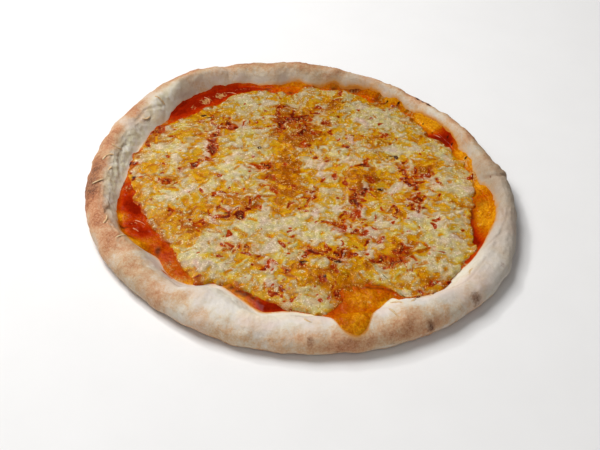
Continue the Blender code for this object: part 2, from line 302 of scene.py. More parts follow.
# Soft oval zones of the toppings, each given by x, y, half width and half height in mm and a strength.
# Where sauce shows through the cheese in clusters
RED_CLUSTERS = (
    (-18, 104, 6, 5, 0.9), (-22, 93, 5, 5, 0.8), (-13, 83, 8, 8, 1.3), (-17, 75, 6, 4, 0.9),
    (-3, 91, 8, 7, 1.1), (4, 88, 5, 6, 0.9), (12, 98, 6, 4, 0.7), (-38, 81, 4, 3, 0.8),
    (-55, 76, 8, 6, 1.2), (-65, 68, 7, 6, 1.2), (-58, 86, 5, 4, 0.8), (-70, 55, 5, 8, 1.2),
    (-64, 46, 5, 6, 1.2), (-68, 34, 6, 5, 1.0), (-78, 28, 4, 4, 0.9), (-37, 21, 5, 5, 1.0),
    (-24, 26, 5, 4, 1.2), (-24, 12, 5, 4, 0.8), (-97, 5, 7, 5, 0.9), (-90, 20, 5, 4, 0.6),
    (-115, 65, 5, 7, 1.0), (-120, 51, 4, 7, 0.8), (-107, 72, 6, 4, 0.7), (-128, 26, 5, 4, 1.2),
    (-124, 10, 4, 4, 1.2), (5, 75, 8, 7, 0.9), (0, 66, 7, 6, 0.7), (22, 85, 5, 4, 0.9), (32, 82, 4, 4, 0.8),
    (50, 85, 3, 3, 0.7), (42, 67, 6, 5, 1.0), (60, 73, 4, 3, 0.9), (75, 66, 4, 3, 0.8), (35, 53, 6, 4, 1.1),
    (56, 55, 4, 3, 0.7), (65, 55, 6, 4, 0.6), (5, 52, 4, 5, 0.9), (14, 38, 5, 6, 0.9), (22, 34, 4, 4, 1.0),
    (24, 27, 4, 3, 0.7), (48, 30, 6, 5, 1.2), (78, 32, 7, 5, 1.0), (86, 18, 8, 8, 1.3), (84, 8, 6, 4, 0.9),
    (27, 20, 4, 2, 0.9), (18, 12, 3, 3, 0.7), (12, 3, 4, 3, 0.7), (105, 15, 4, 3, 0.7), (103, 5, 3, 3, 0.8),
    (-2, 27, 5, 5, 0.7), (50, 0, 8, 3, 1.2), (42, -11, 6, 9, 1.4), (40, -22, 5, 4, 0.9),
    (8, -10, 4, 7, 1.0), (0, -21, 8, 4, 0.8), (70, -20, 6, 5, 0.8), (90, -8, 9, 9, 1.3),
    (88, -20, 6, 4, 0.8), (40, -30, 9, 4, 0.9), (30, -37, 7, 5, 1.0), (20, -38, 6, 4, 0.6),
    (45, -43, 8, 5, 0.8), (57, -52, 6, 4, 1.1), (48, -57, 6, 3, 0.8), (55, -40, 4, 3, 0.7),
    (108, -30, 6, 4, 0.6), (115, -45, 4, 4, 0.6), (97, -57, 5, 3, 0.8), (88, -58, 5, 5, 0.7),
    (8, -69, 7, 4, 0.7), (16, -68, 7, 5, 0.9), (33, -68, 9, 6, 1.3), (30, -78, 4, 3, 1.3),
    (5, -80, 4, 2, 1.3), (60, -75, 9, 5, 1.0), (75, -65, 7, 8, 1.1), (72, -76, 7, 4, 0.9),
    (95, -94, 8, 5, 1.0), (104, -90, 4, 5, 0.6), (17, -98, 4, 3, 0.8), (30, -107, 7, 6, 1.1),
    (5, -112, 6, 5, 0.8), (85, -108, 5, 5, 0.8), (-58, -6, 5, 5, 1.0), (-60, -17, 5, 4, 0.9),
    (-50, -30, 8, 5, 1.3), (-62, -32, 4, 4, 0.8), (-40, -32, 4, 3, 1.5), (-35, -22, 5, 4, 1.3),
    (-35, -12, 7, 5, 0.9), (-50, -8, 4, 4, 0.6), (-85, -30, 5, 5, 0.6), (-95, -32, 4, 5, 0.6),
    (-75, -48, 8, 6, 0.5), (-62, -40, 4, 3, 0.7), (-35, -67, 7, 5, 1.0), (-47, -70, 5, 4, 0.9),
    (-25, -75, 6, 4, 0.8), (-20, -85, 5, 4, 1.2), (-7, -88, 3, 3, 1.5), (-30, -52, 3, 2, 0.8),
    (-5, -52, 3, 3, 0.8), (-50, -65, 7, 2, 0.8), (-10, -105, 8, 4, 0.9), (-118, -22, 4, 8, 0.8),
    (-93, -60, 4, 7, 0.8), (-84, -80, 4, 6, 0.8), (-72, -94, 6, 4, 0.7),
)
# Where the cheese is golden and amber with oil
GOLDEN_AREAS = (
    (-8, 30, 10, 14, 1.5), (-10, 10, 13, 11, 1.6), (-12, -5, 13, 9, 1.2), (-5, 57, 12, 10, 1.2),
    (-16, 66, 8, 8, 0.8), (-72, 91, 9, 7, 1.3), (-90, 93, 8, 6, 1.0), (-105, 56, 12, 6, 0.6),
    (-110, 20, 9, 7, 0.7), (25, 108, 12, 7, 1.2), (30, 112, 7, 5, 0.6), (62, 112, 9, 5, 1.1),
    (15, 60, 10, 9, 0.9), (60, 62, 8, 7, 0.9), (95, 66, 12, 6, 0.8), (101, 31, 9, 9, 1.2),
    (48, 13, 13, 9, 1.7), (65, 15, 7, 7, 0.8), (-75, -25, 11, 7, 1.0), (-72, -46, 11, 9, 1.2),
    (-90, -36, 8, 8, 0.9), (-10, -29, 11, 6, 0.9), (-52, -14, 9, 6, 0.9), (60, -6, 7, 7, 0.7),
    (72, -24, 7, 7, 0.7), (10, -62, 6, 5, 1.1), (10, -95, 12, 7, 1.1), (27, -88, 12, 6, 1.0),
    (50, -77, 14, 6, 1.0), (80, -60, 9, 7, 1.1), (36, -51, 6, 5, 0.8), (120, -12, 6, 6, 1.0),
    (-3, 88, 10, 9, 0.7), (-98, 5, 9, 6, 0.7), (-85, 66, 7, 7, 0.9), (100, 92, 7, 7, 1.3),
    (88, 104, 6, 4, 1.0), (-70, 14, 8, 8, 0.6), (45, -100, 16, 5, 0.9), (70, -68, 9, 9, 0.7),
    (5, 75, 10, 10, 0.9), (-38, -18, 9, 9, 0.7), (0, -84, 9, 6, 0.8), (95, -93, 10, 7, 1.0),
    (-78, -92, 8, 6, 1.0), (-115, 64, 7, 8, 0.7), (105, 52, 5, 5, 0.5), (62, 38, 7, 6, 0.6),
    (-5, 105, 12, 10, 0.5),
)
# Where the cheese lies thick and pale
PALE_AREAS = (
    (-35, 109, 11, 7, 1.1), (-47, 115, 9, 7, 0.9), (-45, 70, 8, 6, 0.8), (-92, 72, 9, 6, 0.7),
    (-105, 46, 13, 7, 0.9), (-38, 42, 12, 7, 1.1), (-55, 51, 7, 7, 0.8), (-45, 14, 12, 6, 1.3),
    (-60, 25, 8, 6, 0.7), (-90, -11, 9, 8, 1.2), (-30, -40, 13, 8, 1.4), (-8, -42, 12, 7, 1.2),
    (16, -46, 11, 8, 1.0), (-45, -50, 9, 7, 0.9), (-62, -62, 9, 7, 1.0), (-70, -76, 11, 9, 1.1),
    (-55, -85, 9, 7, 0.9), (5, -30, 8, 6, 0.9), (30, -20, 7, 7, 1.1), (60, 95, 13, 9, 1.4),
    (65, 86, 8, 7, 1.0), (80, 72, 7, 6, 0.6), (30, 62, 7, 5, 0.7), (26, 47, 8, 5, 1.0), (6, 36, 7, 6, 0.9),
    (75, 50, 8, 7, 1.0), (108, 55, 8, 7, 1.1), (115, 30, 5, 9, 0.8), (110, 8, 7, 7, 0.9),
    (122, 22, 7, 9, 0.9), (121, 2, 6, 8, 0.6), (117, -20, 6, 8, 0.5), (90, -29, 8, 6, 1.1),
    (101, -45, 13, 14, 1.4), (114, -57, 7, 8, 0.9), (92, -73, 8, 5, 0.8), (110, -86, 9, 7, 0.9),
    (54, -45, 9, 6, 0.6), (25, -56, 8, 4, 0.7), (-20, -64, 8, 5, 0.8), (-4, -66, 7, 5, 0.8),
    (65, -92, 10, 4, 1.0), (14, -115, 12, 7, 1.3), (-30, -95, 9, 6, 0.7), (60, -30, 8, 6, 0.6),
    (118, -68, 5, 6, 0.7), (45, 105, 8, 7, 0.9), (-70, 118, 8, 5, 0.5), (20, 20, 6, 6, 0.5),
    (-110, 33, 8, 5, 0.6), (98, -78, 8, 5, 0.7), (70, -104, 8, 4, 0.6),
)
# Where the cheese is soaked through with amber oil
SOAKED_AREAS = (
    (42, -101, 16, 6, 1.2), (30, -112, 8, 6, 0.7), (100, 92, 8, 7, 0.9), (-104, -52, 6, 5, 0.6),
    (70, -97, 8, 3, 0.5), (-44, -101, 10, 4, 0.8), (-118, -8, 4, 12, 0.6), (-97, 92, 8, 5, 0.7),
    (60, 121, 9, 4, 0.7), (122, 35, 4, 10, 0.5),
)
# Small burnt marks on cheese and sauce
BURNT_MARKS = (
    (75, 42, 1.6, 2.4, 1.0), (71, 44, 2.4, 0.8, 0.8), (68, 41, 0.8, 2.2, 0.7), (61, 2, 2.6, 1.3, 0.9),
    (5, -79, 3.0, 1.4, 1.0), (29, -78, 3.0, 1.6, 1.0), (20, -93, 1.2, 1.2, 1.0), (-78, 90, 2.6, 1.6, 1.0),
    (-73, 87, 3.2, 1.0, 0.9), (-31, 49, 2.0, 1.6, 0.9), (-24, 26, 1.8, 1.4, 0.8), (-52, -29, 1.6, 1.4, 0.7),
    (-40, -32, 1.6, 1.4, 0.6), (48, 31, 2.2, 1.2, 0.7), (129, 44, 0.9, 0.9, 1.1), (99, 89, 0.8, 0.6, 1.1),
    (106, 79, 0.8, 0.6, 1.0), (114, 79, 0.8, 0.5, 1.0), (117, 70, 0.9, 0.7, 1.0), (120, 63, 0.9, 0.8, 1.0),
    (111, 68, 0.8, 0.7, 0.9), (71, 116, 0.9, 0.5, 1.0), (80, 111, 1.1, 0.6, 1.1), (42, 67, 1.4, 1.4, 0.6),
    (-124, 11, 2.0, 1.6, 0.8), (-129, 27, 1.6, 1.2, 0.8), (33, -69, 2.4, 1.6, 0.6), (42, 21, 5.0, 0.9, 0.5),
    (-105, 12, 1.0, 0.8, 0.7), (-83, 61, 2.0, 0.8, 0.7), (95, -94, 2.4, 1.8, 0.6),
    (-13, 82, 2.0, 2.0, 0.45), (50, 1, 4.0, 0.9, 0.7), (6, -68, 2.0, 1.2, 0.6),
)
# Where the cheese is thin, over pooled oil, by the share taken off
THIN_AREAS = (
    (42, -103, 20, 9, 0.7), (-121, -22, 6, 18, 0.4), (-10, -113, 16, 5, 0.5), (112, 78, 16, 9, 0.4),
)
# Domes where steam has lifted the cheese, beside those of the part: x, y, radius and rise in mm
DOMES = (
    (48, 13, 12, 1.0), (-70, -76, 12, 1.2), (30, -95, 13, 1.4), (-35, -12, 8, 0.7), (10, -84, 9, 0.9),
    (-8, 10, 12, 0.8), (102, -46, 13, 1.0), (60, 95, 12, 0.9), (75, -65, 9, 0.8), (-45, 14, 10, 0.8),
)

FIELD_SEED = 20
FIELD_MARGIN = 8 * MM
# How far melting has pulled the cheese's tones about
FLOW = 1.3 * MM
DISC_COUNT = 1050
DISC_RADIUS = (0.9 * MM, 2.6 * MM)
RED_DISC_SHARE = 0.15
RED_DISC_SCORE = 1.1
DISC_SIZE_BIAS = 1.6
RED_THRESHOLD = 1.7
HALO_RADIUS = 2.2 * MM
VEIL_RADIUS = 4 * MM


def disc_table(random, crowd, red_score):
    """Small round puddles of oil and sauce: place, radius, whether red, and flattening of each."""
    table = []
    smallest, largest = DISC_RADIUS
    while len(table) < DISC_COUNT:
        column, row = random.integers(4, CELLS - 4, 2)
        chance, size, pick, squash = random.uniform(0, 1, 4)
        if chance > crowd[row, column]:
            continue
        red = pick < RED_DISC_SHARE or red_score[row, column] > RED_DISC_SCORE
        radius = smallest + (largest - smallest) * size ** DISC_SIZE_BIAS
        table.append((column, row, radius, red, 0.8 + 0.4 * squash))
    return table


def stamp_discs(table):
    """How far inside an oil disc, and inside a sauce disc, each cell lies, with crisp edges."""
    stamped = {False: np.zeros((CELLS, CELLS)), True: np.zeros((CELLS, CELLS))}
    down, across = np.mgrid[0:CELLS, 0:CELLS]
    for column, row, radius, red, squash in table:
        reach = int(radius / PITCH * 1.6) + 2
        rows = slice(max(row - reach, 0), row + reach + 1)
        columns = slice(max(column - reach, 0), column + reach + 1)
        away = np.hypot((down[rows, columns] - row) * squash, (across[rows, columns] - column) / squash)
        away = away * PITCH / radius
        share = np.clip((1.2 - away) / 0.4, 0, 1)
        if red:
            share = share * (0.5 + 0.5 * np.exp(-((away - 0.95) / 0.3) ** 2))
        stamped[red][rows, columns] = np.maximum(stamped[red][rows, columns], share)
    return stamped[False], stamped[True]


def drawn_to(values, goal, share):
    """The values moved toward a goal by a share of the way."""
    return values + (goal - values) * share


def cheese_fields():
    """Rasters of the cheese: how creamy, how golden, how red, how veiled, and its fine relief."""
    random = np.random.default_rng(FIELD_SEED)
    x, y = raster_places()
    melted = shred_field(random, 5200, (7, 17), 2.0)
    crisp = shred_field(random, 3400, (5, 13), 0.9)
    fine = band_noise(random, 1.3, 3.2)
    small = band_noise(random, 2.6, 6.5)
    patch = band_noise(random, 7, 17)
    pale = zones(PALE_AREAS, x, y)
    clusters = zones(RED_CLUSTERS, x, y)
    golden = zones(GOLDEN_AREAS, x, y)
    cream = 0.14 * melted + 0.4 * fine + 0.5 * small + 0.45 * patch + 0.1 * crisp
    cream += 1.3 * pale - 1.2 * golden - 0.5 * clusters
    gold = 0.4 * patch + 0.6 * band_noise(random, 3, 8) + 0.4 * fine
    gold += 0.9 * golden - 0.5 * pale + 0.9 * clusters
    red = 0.85 * band_noise(random, 2.4, 6) + 0.35 * fine - 0.3 * crisp + 2.2 * clusters - 0.6 * pale
    crowd = np.clip(0.18 + 0.5 * clusters + 0.25 * golden + 0.1 * pale, 0.03, 1)
    oily_disc, red_disc = stamp_discs(disc_table(random, crowd, red))
    strand = np.clip((crisp - 1.5) / 0.8, 0, 1) * np.clip(clusters * 1.5, 0, 1) * 0.7
    redness = np.maximum(np.clip(red - RED_THRESHOLD, 0, 1), red_disc) * (1 - strand)
    halo = np.clip(blur(redness, HALO_RADIUS) * 1.6, 0, 1)
    cream = ranked(cream - 1.1 * halo)
    cream = drawn_to(cream, 0.86, np.clip(pale - 0.5, 0, 1) * 0.5)
    cream = drawn_to(cream, 0.22, oily_disc * 0.85)
    cream = drawn_to(cream, 0.85, strand)
    gold = drawn_to(ranked(gold + 1.2 * halo), 0.8, oily_disc * 0.8)
    veil = blur(np.clip(clusters, 0, 1.5), VEIL_RADIUS) * 0.8 + 0.3 * patch - 0.4 * golden - 0.1
    relief = 0.08 * melted + 0.15 * small + 0.06 * crisp + 0.09 * fine - 0.3 * oily_disc - 0.45 * redness
    aside = x + FLOW * band_noise(random, 5, 13)
    ahead = y + FLOW * band_noise(random, 5, 13)
    veil = np.clip(veil, 0, 1)
    fields = {"cream": cream, "gold": gold, "red": redness, "veil": veil, "relief": relief * MM}
    fields = {name: read_raster(field, aside, ahead) for name, field in fields.items()}
    return {**fields, "ragged": 0.35 * small + 0.9 * patch}


# Mesh helpers

def grid_faces(rows, columns, first=0):
    """Quads of a grid whose columns close on themselves, with their outer side up."""
    row = np.arange(rows - 1)[:, None]
    column = np.arange(columns)[None, :]
    a = row * columns + column
    b = row * columns + (column + 1) % columns
    return (np.stack((a, a + columns, b + columns, b), axis=-1).reshape(-1, 4) + first).tolist()


def new_piece(name, places, faces, finish, node=None):
    mesh = bpy.data.meshes.new(name)
    mesh.from_pydata(np.asarray(places).tolist(), [], faces)
    mesh.validate()
    mesh.shade_smooth()
    mesh.materials.append(finish)
    piece = bpy.data.objects.new(name, mesh)
    bpy.context.scene.collection.objects.link(piece)
    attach(piece, "root")
    if node:
        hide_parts(node)
    return piece


def closed_grid(rows, columns):
    """Faces of a grid whose first and last row each close on a middle point, which follow the grid."""
    faces = grid_faces(rows, columns)
    count = rows * columns
    last = count - columns
    for column in range(columns):
        after = (column + 1) % columns
        faces.append((count, column, after))
        faces.append((count + 1, last + after, last + column))
    return faces


def paint(piece, stored, spare=0):
    """Store numbers for each vertex, for the material to read, and 0 for the spare last vertices."""
    for name, values in stored.items():
        layer = piece.data.attributes.new(name, "FLOAT", "POINT")
        layer.data.foreach_set("value", np.append(values, np.zeros(spare)).astype(np.float32))


def normals_of(places):
    """Normals of a grid of places, rows by columns, whose columns close on themselves."""
    along = np.roll(places, -1, axis=1) - np.roll(places, 1, axis=1)
    across = np.gradient(places, axis=0)
    normal = np.cross(across, along)
    size = np.linalg.norm(normal, axis=2, keepdims=True)
    return normal / np.maximum(size, 1e-12)


def to_places(radius, angle, height):
    return np.stack((*to_plan(radius, angle), height), axis=-1)


# Material helpers

def srgb(red, green, blue):
    """Linear colour of an everyday 0 to 255 one."""
    def linear(level):
        level = level / 255
        return level / 12.92 if level <= 0.04045 else ((level + 0.055) / 1.055) ** 2.4
    return (linear(red), linear(green), linear(blue), 1.0)


class Look:
    """A material in the making: each method adds nodes and returns their output."""

    def __init__(self, name):
        self.material = bpy.data.materials.new(name)
        self.material.use_nodes = True
        self.tree = self.material.node_tree
        self.shader = self.tree.nodes["Principled BSDF"]
        self.places = self.tree.nodes.new("ShaderNodeTexCoord").outputs["Object"]

    def feed(self, socket, value):
        if isinstance(value, bpy.types.NodeSocket):
            self.tree.links.new(value, socket)
        else:
            socket.default_value = value

    def add(self, kind, inputs, **settings):
        """A new node with these settings, and with values or other nodes' outputs in its inputs."""
        node = self.tree.nodes.new("ShaderNode" + kind)
        for name, setting in settings.items():
            setattr(node, name, setting)
        for key, value in inputs.items():
            self.feed(node.inputs[key], value)
        return node

    def attributes(self, *names):
        """The numbers that the piece stores for each vertex under these names."""
        return [self.add("Attribute", {}, attribute_name=name).outputs["Fac"] for name in names]

    def noise(self, size, detail=3.0, roughness=0.55):
        """Noise whose blobs measure about the given size in mm."""
        inputs = {"Vector": self.places, "Scale": 1 / (size * MM), "Detail": detail, "Roughness": roughness}
        return self.add("TexNoise", inputs).outputs["Fac"]

    def math(self, operation, first, second=0.0, third=0.0, clamp=False):
        inputs = {0: first, 1: second, 2: third}
        return self.add("Math", inputs, operation=operation, use_clamp=clamp).outputs[0]

    def plus(self, first, second):
        return self.math("ADD", first, second)

    def times(self, first, second):
        return self.math("MULTIPLY", first, second)

    def add_share(self, base, extra, share, middle=0.5):
        """base + share * (extra - middle), kept from 0 to 1."""
        centred = self.math("SUBTRACT", extra, middle)
        return self.math("MULTIPLY_ADD", centred, share, base, clamp=True)

    def between(self, value, low, high, to_low=0.0, to_high=1.0):
        return self.add("MapRange", {0: value, 1: low, 2: high, 3: to_low, 4: to_high}).outputs[0]

    def ramp(self, value, stops):
        """Colour by value. Each stop is a position and the red, green and blue there, 0 to 255."""
        node = self.add("ValToRGB", {0: value})
        ramp = node.color_ramp
        while len(ramp.elements) < len(stops):
            ramp.elements.new(0.5)
        for element, (position, *colour) in zip(ramp.elements, stops):
            element.position = position
            element.color = srgb(*colour)
        return node.outputs["Color"]

    def mix(self, share, first, second, blend="MIX"):
        inputs = {6: first, 7: second, 0: share}
        return self.add("Mix", inputs, data_type="RGBA", blend_type=blend).outputs[2]

    def laid_on(self, colour, field, low, high, other, most=1.0):
        """Another colour laid over this one as the field goes from low to high, by a share at most."""
        return self.mix(self.between(field, low, high, 0.0, most), colour, other)

    def tinted(self, colour, share, first, second):
        """The colour multiplied by a tint that goes from the first to the second one."""
        return self.mix(1.0, colour, self.mix(share, (*first, 1), (*second, 1)), "MULTIPLY")

    def cover(self, colour, roughness):
        self.feed(self.shader.inputs["Base Color"], colour)
        self.feed(self.shader.inputs["Roughness"], roughness)

    def bump(self, height, strength, distance, side="Normal"):
        """Relief in mm felt by the skin, or by the film of oil on it."""
        node = self.add("Bump", {"Strength": strength, "Distance": distance * MM, "Height": height})
        self.feed(self.shader.inputs[side], node.outputs["Normal"])

    def settle(self, **values):
        """Plain values of the shader's own inputs, by name with _ for spaces."""
        for name, value in values.items():
            self.shader.inputs[name.replace("_", " ")].default_value = value


# Outlines of the toppings

# Where the sauce ends on the dough: direction and radius in mm
SAUCE_OUTLINE = (
    (-176, 133), (-170, 134), (-162, 135), (-154, 134), (-148, 131), (-144.5, 122), (-141, 121.5),
    (-135, 125.5), (-130, 125), (-125, 121), (-121, 113), (-118, 110), (-113, 112.5), (-107, 117),
    (-103, 121.5), (-99.5, 124.5), (-95, 121.5), (-90, 121), (-84, 124), (-82, 127), (-81, 131), (-80, 139),
    (-79, 148), (-77.8, 153), (-76, 156), (-73.6, 156.5), (-71.8, 153), (-70.5, 147), (-68.5, 141),
    (-66.5, 136), (-64, 131), (-61.5, 127), (-58, 124), (-56, 132), (-54, 139), (-51, 139), (-47, 137.5),
    (-43, 138.5), (-38, 138), (-33, 139), (-28, 142), (-23.5, 143.5), (-18, 144), (-13.5, 145.5), (-6, 146),
    (0.5, 144), (4, 141), (7.5, 136.5), (10, 136.5), (13.5, 136.5), (16, 137.5), (20, 137.5), (24, 136.5),
    (26, 137.5), (31, 138.5), (35, 138), (39, 138), (43, 137.5), (48, 136), (51, 136), (54, 138),
    (56, 138.5), (58, 137), (60, 137), (62, 138.5), (64, 140), (66, 141), (68, 140.5), (70.5, 141),
    (72.5, 141), (74.5, 140), (76, 139.5), (77.5, 141), (79, 141), (81, 139.5), (83, 137.5), (85.5, 137),
    (88, 137.5), (90, 139.5), (92.5, 141.5), (95, 141), (96.5, 139.5), (99.5, 139), (103.5, 141.5),
    (107, 145.5), (110.5, 148), (114.5, 148), (117, 148.5), (120, 149.5), (123, 150.5), (126.5, 150),
    (130, 148), (134, 145), (137.5, 142), (140, 138.5), (143, 137), (147, 135.5), (151, 135.5), (155, 135),
    (158.5, 134), (163, 132), (168, 131), (172, 130.5), (175, 131),
)
# The cheese's outline, as x and y in mm
CHEESE_OUTLINE = (
    (-126, 5), (-121, -5), (-120, -13), (-115, -22), (-110, -32), (-105, -42), (-97, -52), (-90, -60),
    (-87, -70), (-81, -80), (-75, -90), (-70, -97), (-62, -98), (-56, -96), (-46, -99), (-38, -103),
    (-30, -107), (-22, -113), (-14, -115), (-4, -119), (6, -121), (14, -124), (21, -126), (28, -117),
    (36, -107), (42, -101), (52, -96), (60, -97), (67, -101), (72, -106), (76, -112), (81, -117),
    (86, -116), (92, -109), (98, -103), (105, -98), (107, -87), (112, -80), (116, -73), (122, -66),
    (126, -60), (127, -49), (127, -39), (126, -28), (128, -17), (131, -5), (133, 6), (133, 16), (132, 24),
    (128, 36), (121, 51), (117, 58), (111, 67), (102, 72), (99, 84), (92, 96), (87, 101), (80, 108),
    (75, 112), (70, 116), (65, 116), (59, 117), (54, 123), (50, 127), (46, 128), (41, 131), (36, 133),
    (31, 134), (26, 133), (21, 133), (16, 135), (7, 135.5), (1, 135), (-3, 129), (-7, 125), (-11, 124),
    (-16, 129), (-24, 128), (-33, 129), (-41, 130), (-50, 125), (-59, 119), (-68, 107), (-76, 103),
    (-84, 97), (-92, 90), (-98, 85), (-104, 82), (-110, 76), (-117, 69), (-121, 58), (-124, 48), (-127, 39),
    (-129, 28), (-129, 14),
)


def outline_rule(points):
    """Radius by direction of an outline given by its corners, in mm."""
    corners = np.array(points, float)
    directions = np.degrees(np.arctan2(corners[:, 1], corners[:, 0]))
    order = np.argsort(directions)
    radii = np.hypot(corners[:, 0], corners[:, 1])[order]
    return lambda angle: np.interp(angle, directions[order], radii, period=360) * MM


sauce_edge = closed_curve(SAUCE_OUTLINE, softness=1.5, step=0.25)
cheese_edge = outline_rule(CHEESE_OUTLINE)


# Crust

CRUST_SEED = 3
CRUST_COLUMNS = 960
FLOOR_ROWS = 4
INNER_ROWS = 40
OUTER_ROWS = 20
UNDER_ROWS = 14
BOTTOM_SHARES = (0.9, 0.6, 0.3, 0.05)
INNER_START = 12 * MM
# The last rows lie flat, without relief, and it fades out over the rows before them
FLAT_ROWS = 5
FADING_ROWS = 4
# How far outside the sauce the relief and the creases come up
RELIEF_START = 6 * MM
CREASE_START = 5 * MM
# Painted shade in creases and wrinkles is at its full strength at this depth
CREASE_SHADE_DEPTH = 0.8 * MM
STAIN_WIDTH = 2 * MM
# A small nib of dough on the rim
NIB_DIRECTION = 7
NIB_RISE = 2.4 * MM
# Tints that multiply a colour: plain, rosy, and a dark one for painted shade
PLAIN = (1, 1, 1)
ROSY = (1.02, 0.9, 0.87)
SHADE_TINT = (0.67, 0.6, 0.52)
# Browning of the rim: direction, half width in degrees, share across, half width of share, strength
BROWNING = (
    (-176, 10, 0.8, 0.34, 0.9), (178, 12, 0.78, 0.3, 0.88), (-163, 9, 0.72, 0.34, 0.72),
    (-152, 7, 0.68, 0.34, 0.64), (-147, 4, 0.45, 0.2, 0.5), (-138, 9, 0.75, 0.3, 0.52),
    (-127, 7, 1.0, 0.24, 0.42), (-121, 3, 0.75, 0.16, 0.36), (-106, 11, 1.08, 0.26, 0.34),
    (-88, 7, 1.0, 0.24, 0.46), (-76, 10, 1.0, 0.26, 0.56), (-64, 9, 0.92, 0.26, 0.54),
    (-52, 9, 0.92, 0.26, 0.36), (-43, 6, 0.95, 0.24, 0.18), (-30, 9, 1.0, 0.3, 0.1),
    (12, 9, 0.72, 0.34, 0.46), (24, 8, 0.74, 0.36, 0.46), (36, 9, 0.76, 0.3, 0.46),
    (50, 11, 0.78, 0.34, 0.48), (64, 9, 0.75, 0.32, 0.46), (77, 4, 0.75, 0.34, 0.6),
    (90, 10, 0.7, 0.34, 0.56), (104, 10, 0.74, 0.34, 0.54), (124, 12, 0.8, 0.34, 0.6),
    (147, 5, 0.7, 0.28, 0.62), (165, 8, 0.76, 0.3, 0.68), (83, 3, 0.32, 0.12, 0.4),
    (144, 4, 0.3, 0.14, 0.36),
)
# Floury grey skin, in the same terms
FLOURED = (
    (-22, 12, 0.7, 0.45, 0.6), (-3, 11, 0.72, 0.5, 0.85), (9, 6, 0.4, 0.3, 0.5), (134, 10, 0.32, 0.2, 0.6),
    (164, 11, 0.26, 0.14, 0.7), (-171, 9, 0.28, 0.14, 0.55), (-125, 6, 0.3, 0.2, 0.5),
    (-95, 13, 0.3, 0.2, 0.35), (-86, 5, 0.2, 0.12, 0.5), (-48, 8, 0.62, 0.16, 0.5), (-34, 8, 0.5, 0.3, 0.4),
    (56, 14, 1.1, 0.3, 0.35),
)
# Milky, hardly baked skin of the inner slope, in the same terms
MILKY = (
    (176, 16, 0.2, 0.22, 0.8), (160, 12, 0.2, 0.2, 0.8), (-170, 8, 0.2, 0.2, 0.65),
    (140, 12, 0.34, 0.24, 0.6), (-57, 7, 0.1, 0.2, 0.9), (-87, 5, 0.08, 0.14, 0.7),
    (-48, 8, 0.1, 0.14, 0.6), (-112, 8, 0.2, 0.2, 0.5), (92, 24, 0.26, 0.15, 0.25),
    (60, 12, 0.3, 0.15, 0.2), (-98, 10, 0.25, 0.3, 0.6), (-38, 12, 0.16, 0.24, 0.5),
)
# Wrinkled skin, in the same terms
WRINKLED = (
    (-171, 13, 0.34, 0.2, 1.0), (170, 14, 0.3, 0.18, 0.9), (-156, 8, 0.4, 0.24, 0.7),
    (-6, 15, 0.5, 0.4, 0.6), (-22, 9, 0.4, 0.4, 0.35), (14, 7, 0.5, 0.4, 0.4), (152, 8, 0.35, 0.2, 0.5),
    (-134, 8, 0.4, 0.25, 0.35),
)
# Sides of the rim whose skin is darkened as a whole by painted shade: direction, half width in degrees,
# strength
SHADED_SIDES = ((88, 42, 0.85), (2, 36, 1.0), (142, 18, 0.5), (-136, 18, 0.4), (178, 20, 0.3))
# Sides where oil stains the dough beside the sauce, in the same terms
OILY_SIDES = ((-73, 9, 1), (-104, 16, 0.9), (-12, 16, 0.6), (34, 16, 0.7), (78, 30, 0.9), (-155, 14, 0.9))
# Dark marks on the rim: direction, share across, radius in mm, strength
SCORCHES = (
    (49, 0.72, 2.6, 1.0), (44.5, 0.7, 3.0, 1.0), (46.8, 0.72, 2.0, 0.9), (88, 0.83, 3.2, 0.75),
    (85, 0.84, 2.4, 0.7), (79, 0.86, 3.5, 0.5), (-86, 0.9, 3.0, 0.45), (-80, 1.1, 4.0, 0.35),
    (-57, 1.0, 3.5, 0.55), (-43, 0.93, 4.5, 0.5), (97, 0.8, 3.0, 0.4), (36, 0.85, 3.0, 0.4),
    (33, 0.9, 2.5, 0.35), (-67, 1.05, 3.0, 0.35), (-30, 0.85, 3.0, 0.3), (14, 0.6, 1.6, 0.4),
    (166, 0.9, 4.0, 0.25), (-163, 0.8, 4.0, 0.25), (5, 0.36, 1.0, 0.7),
)
# Creases of the dough: depth and half width in mm, then direction and share along each
CREASES = (
    (1.1, 1.1, ((8, 0.02), (5, 0.35), (4.5, 0.7), (7, 1.05))),
    (0.7, 1.0, ((-13, 0.5), (-8, 0.3), (-2, 0.2))), (0.7, 1.2, ((114, 0.2), (113, 0.5), (116, 0.95))),
    (0.8, 1.1, ((-159, 0.18), (-153, 0.42), (-150, 0.62))), (0.6, 1.0, ((-170, 0.2), (-163, 0.45))),
    (0.6, 1.0, ((176, 0.16), (168, 0.34), (160, 0.3))),
    (0.7, 1.2, ((-130, 0.3), (-124, 0.45), (-118, 0.3))), (0.5, 1.1, ((-92, 0.3), (-84, 0.22), (-80, 0.1))),
    (0.5, 1.0, ((-48, 0.3), (-40, 0.5), (-30, 0.45))), (0.5, 1.2, ((60, 0.3), (68, 0.5), (78, 0.45))),
    (0.5, 1.0, ((140, 0.3), (146, 0.5), (152, 0.45))), (0.4, 1.0, ((20, 0.3), (24, 0.6), (22, 0.9))),
    (0.4, 1.0, ((-175, 0.5), (-166, 0.6), (-158, 0.55))), (0.5, 1.0, ((-26, 0.3), (-20, 0.55), (-12, 0.6))),
)


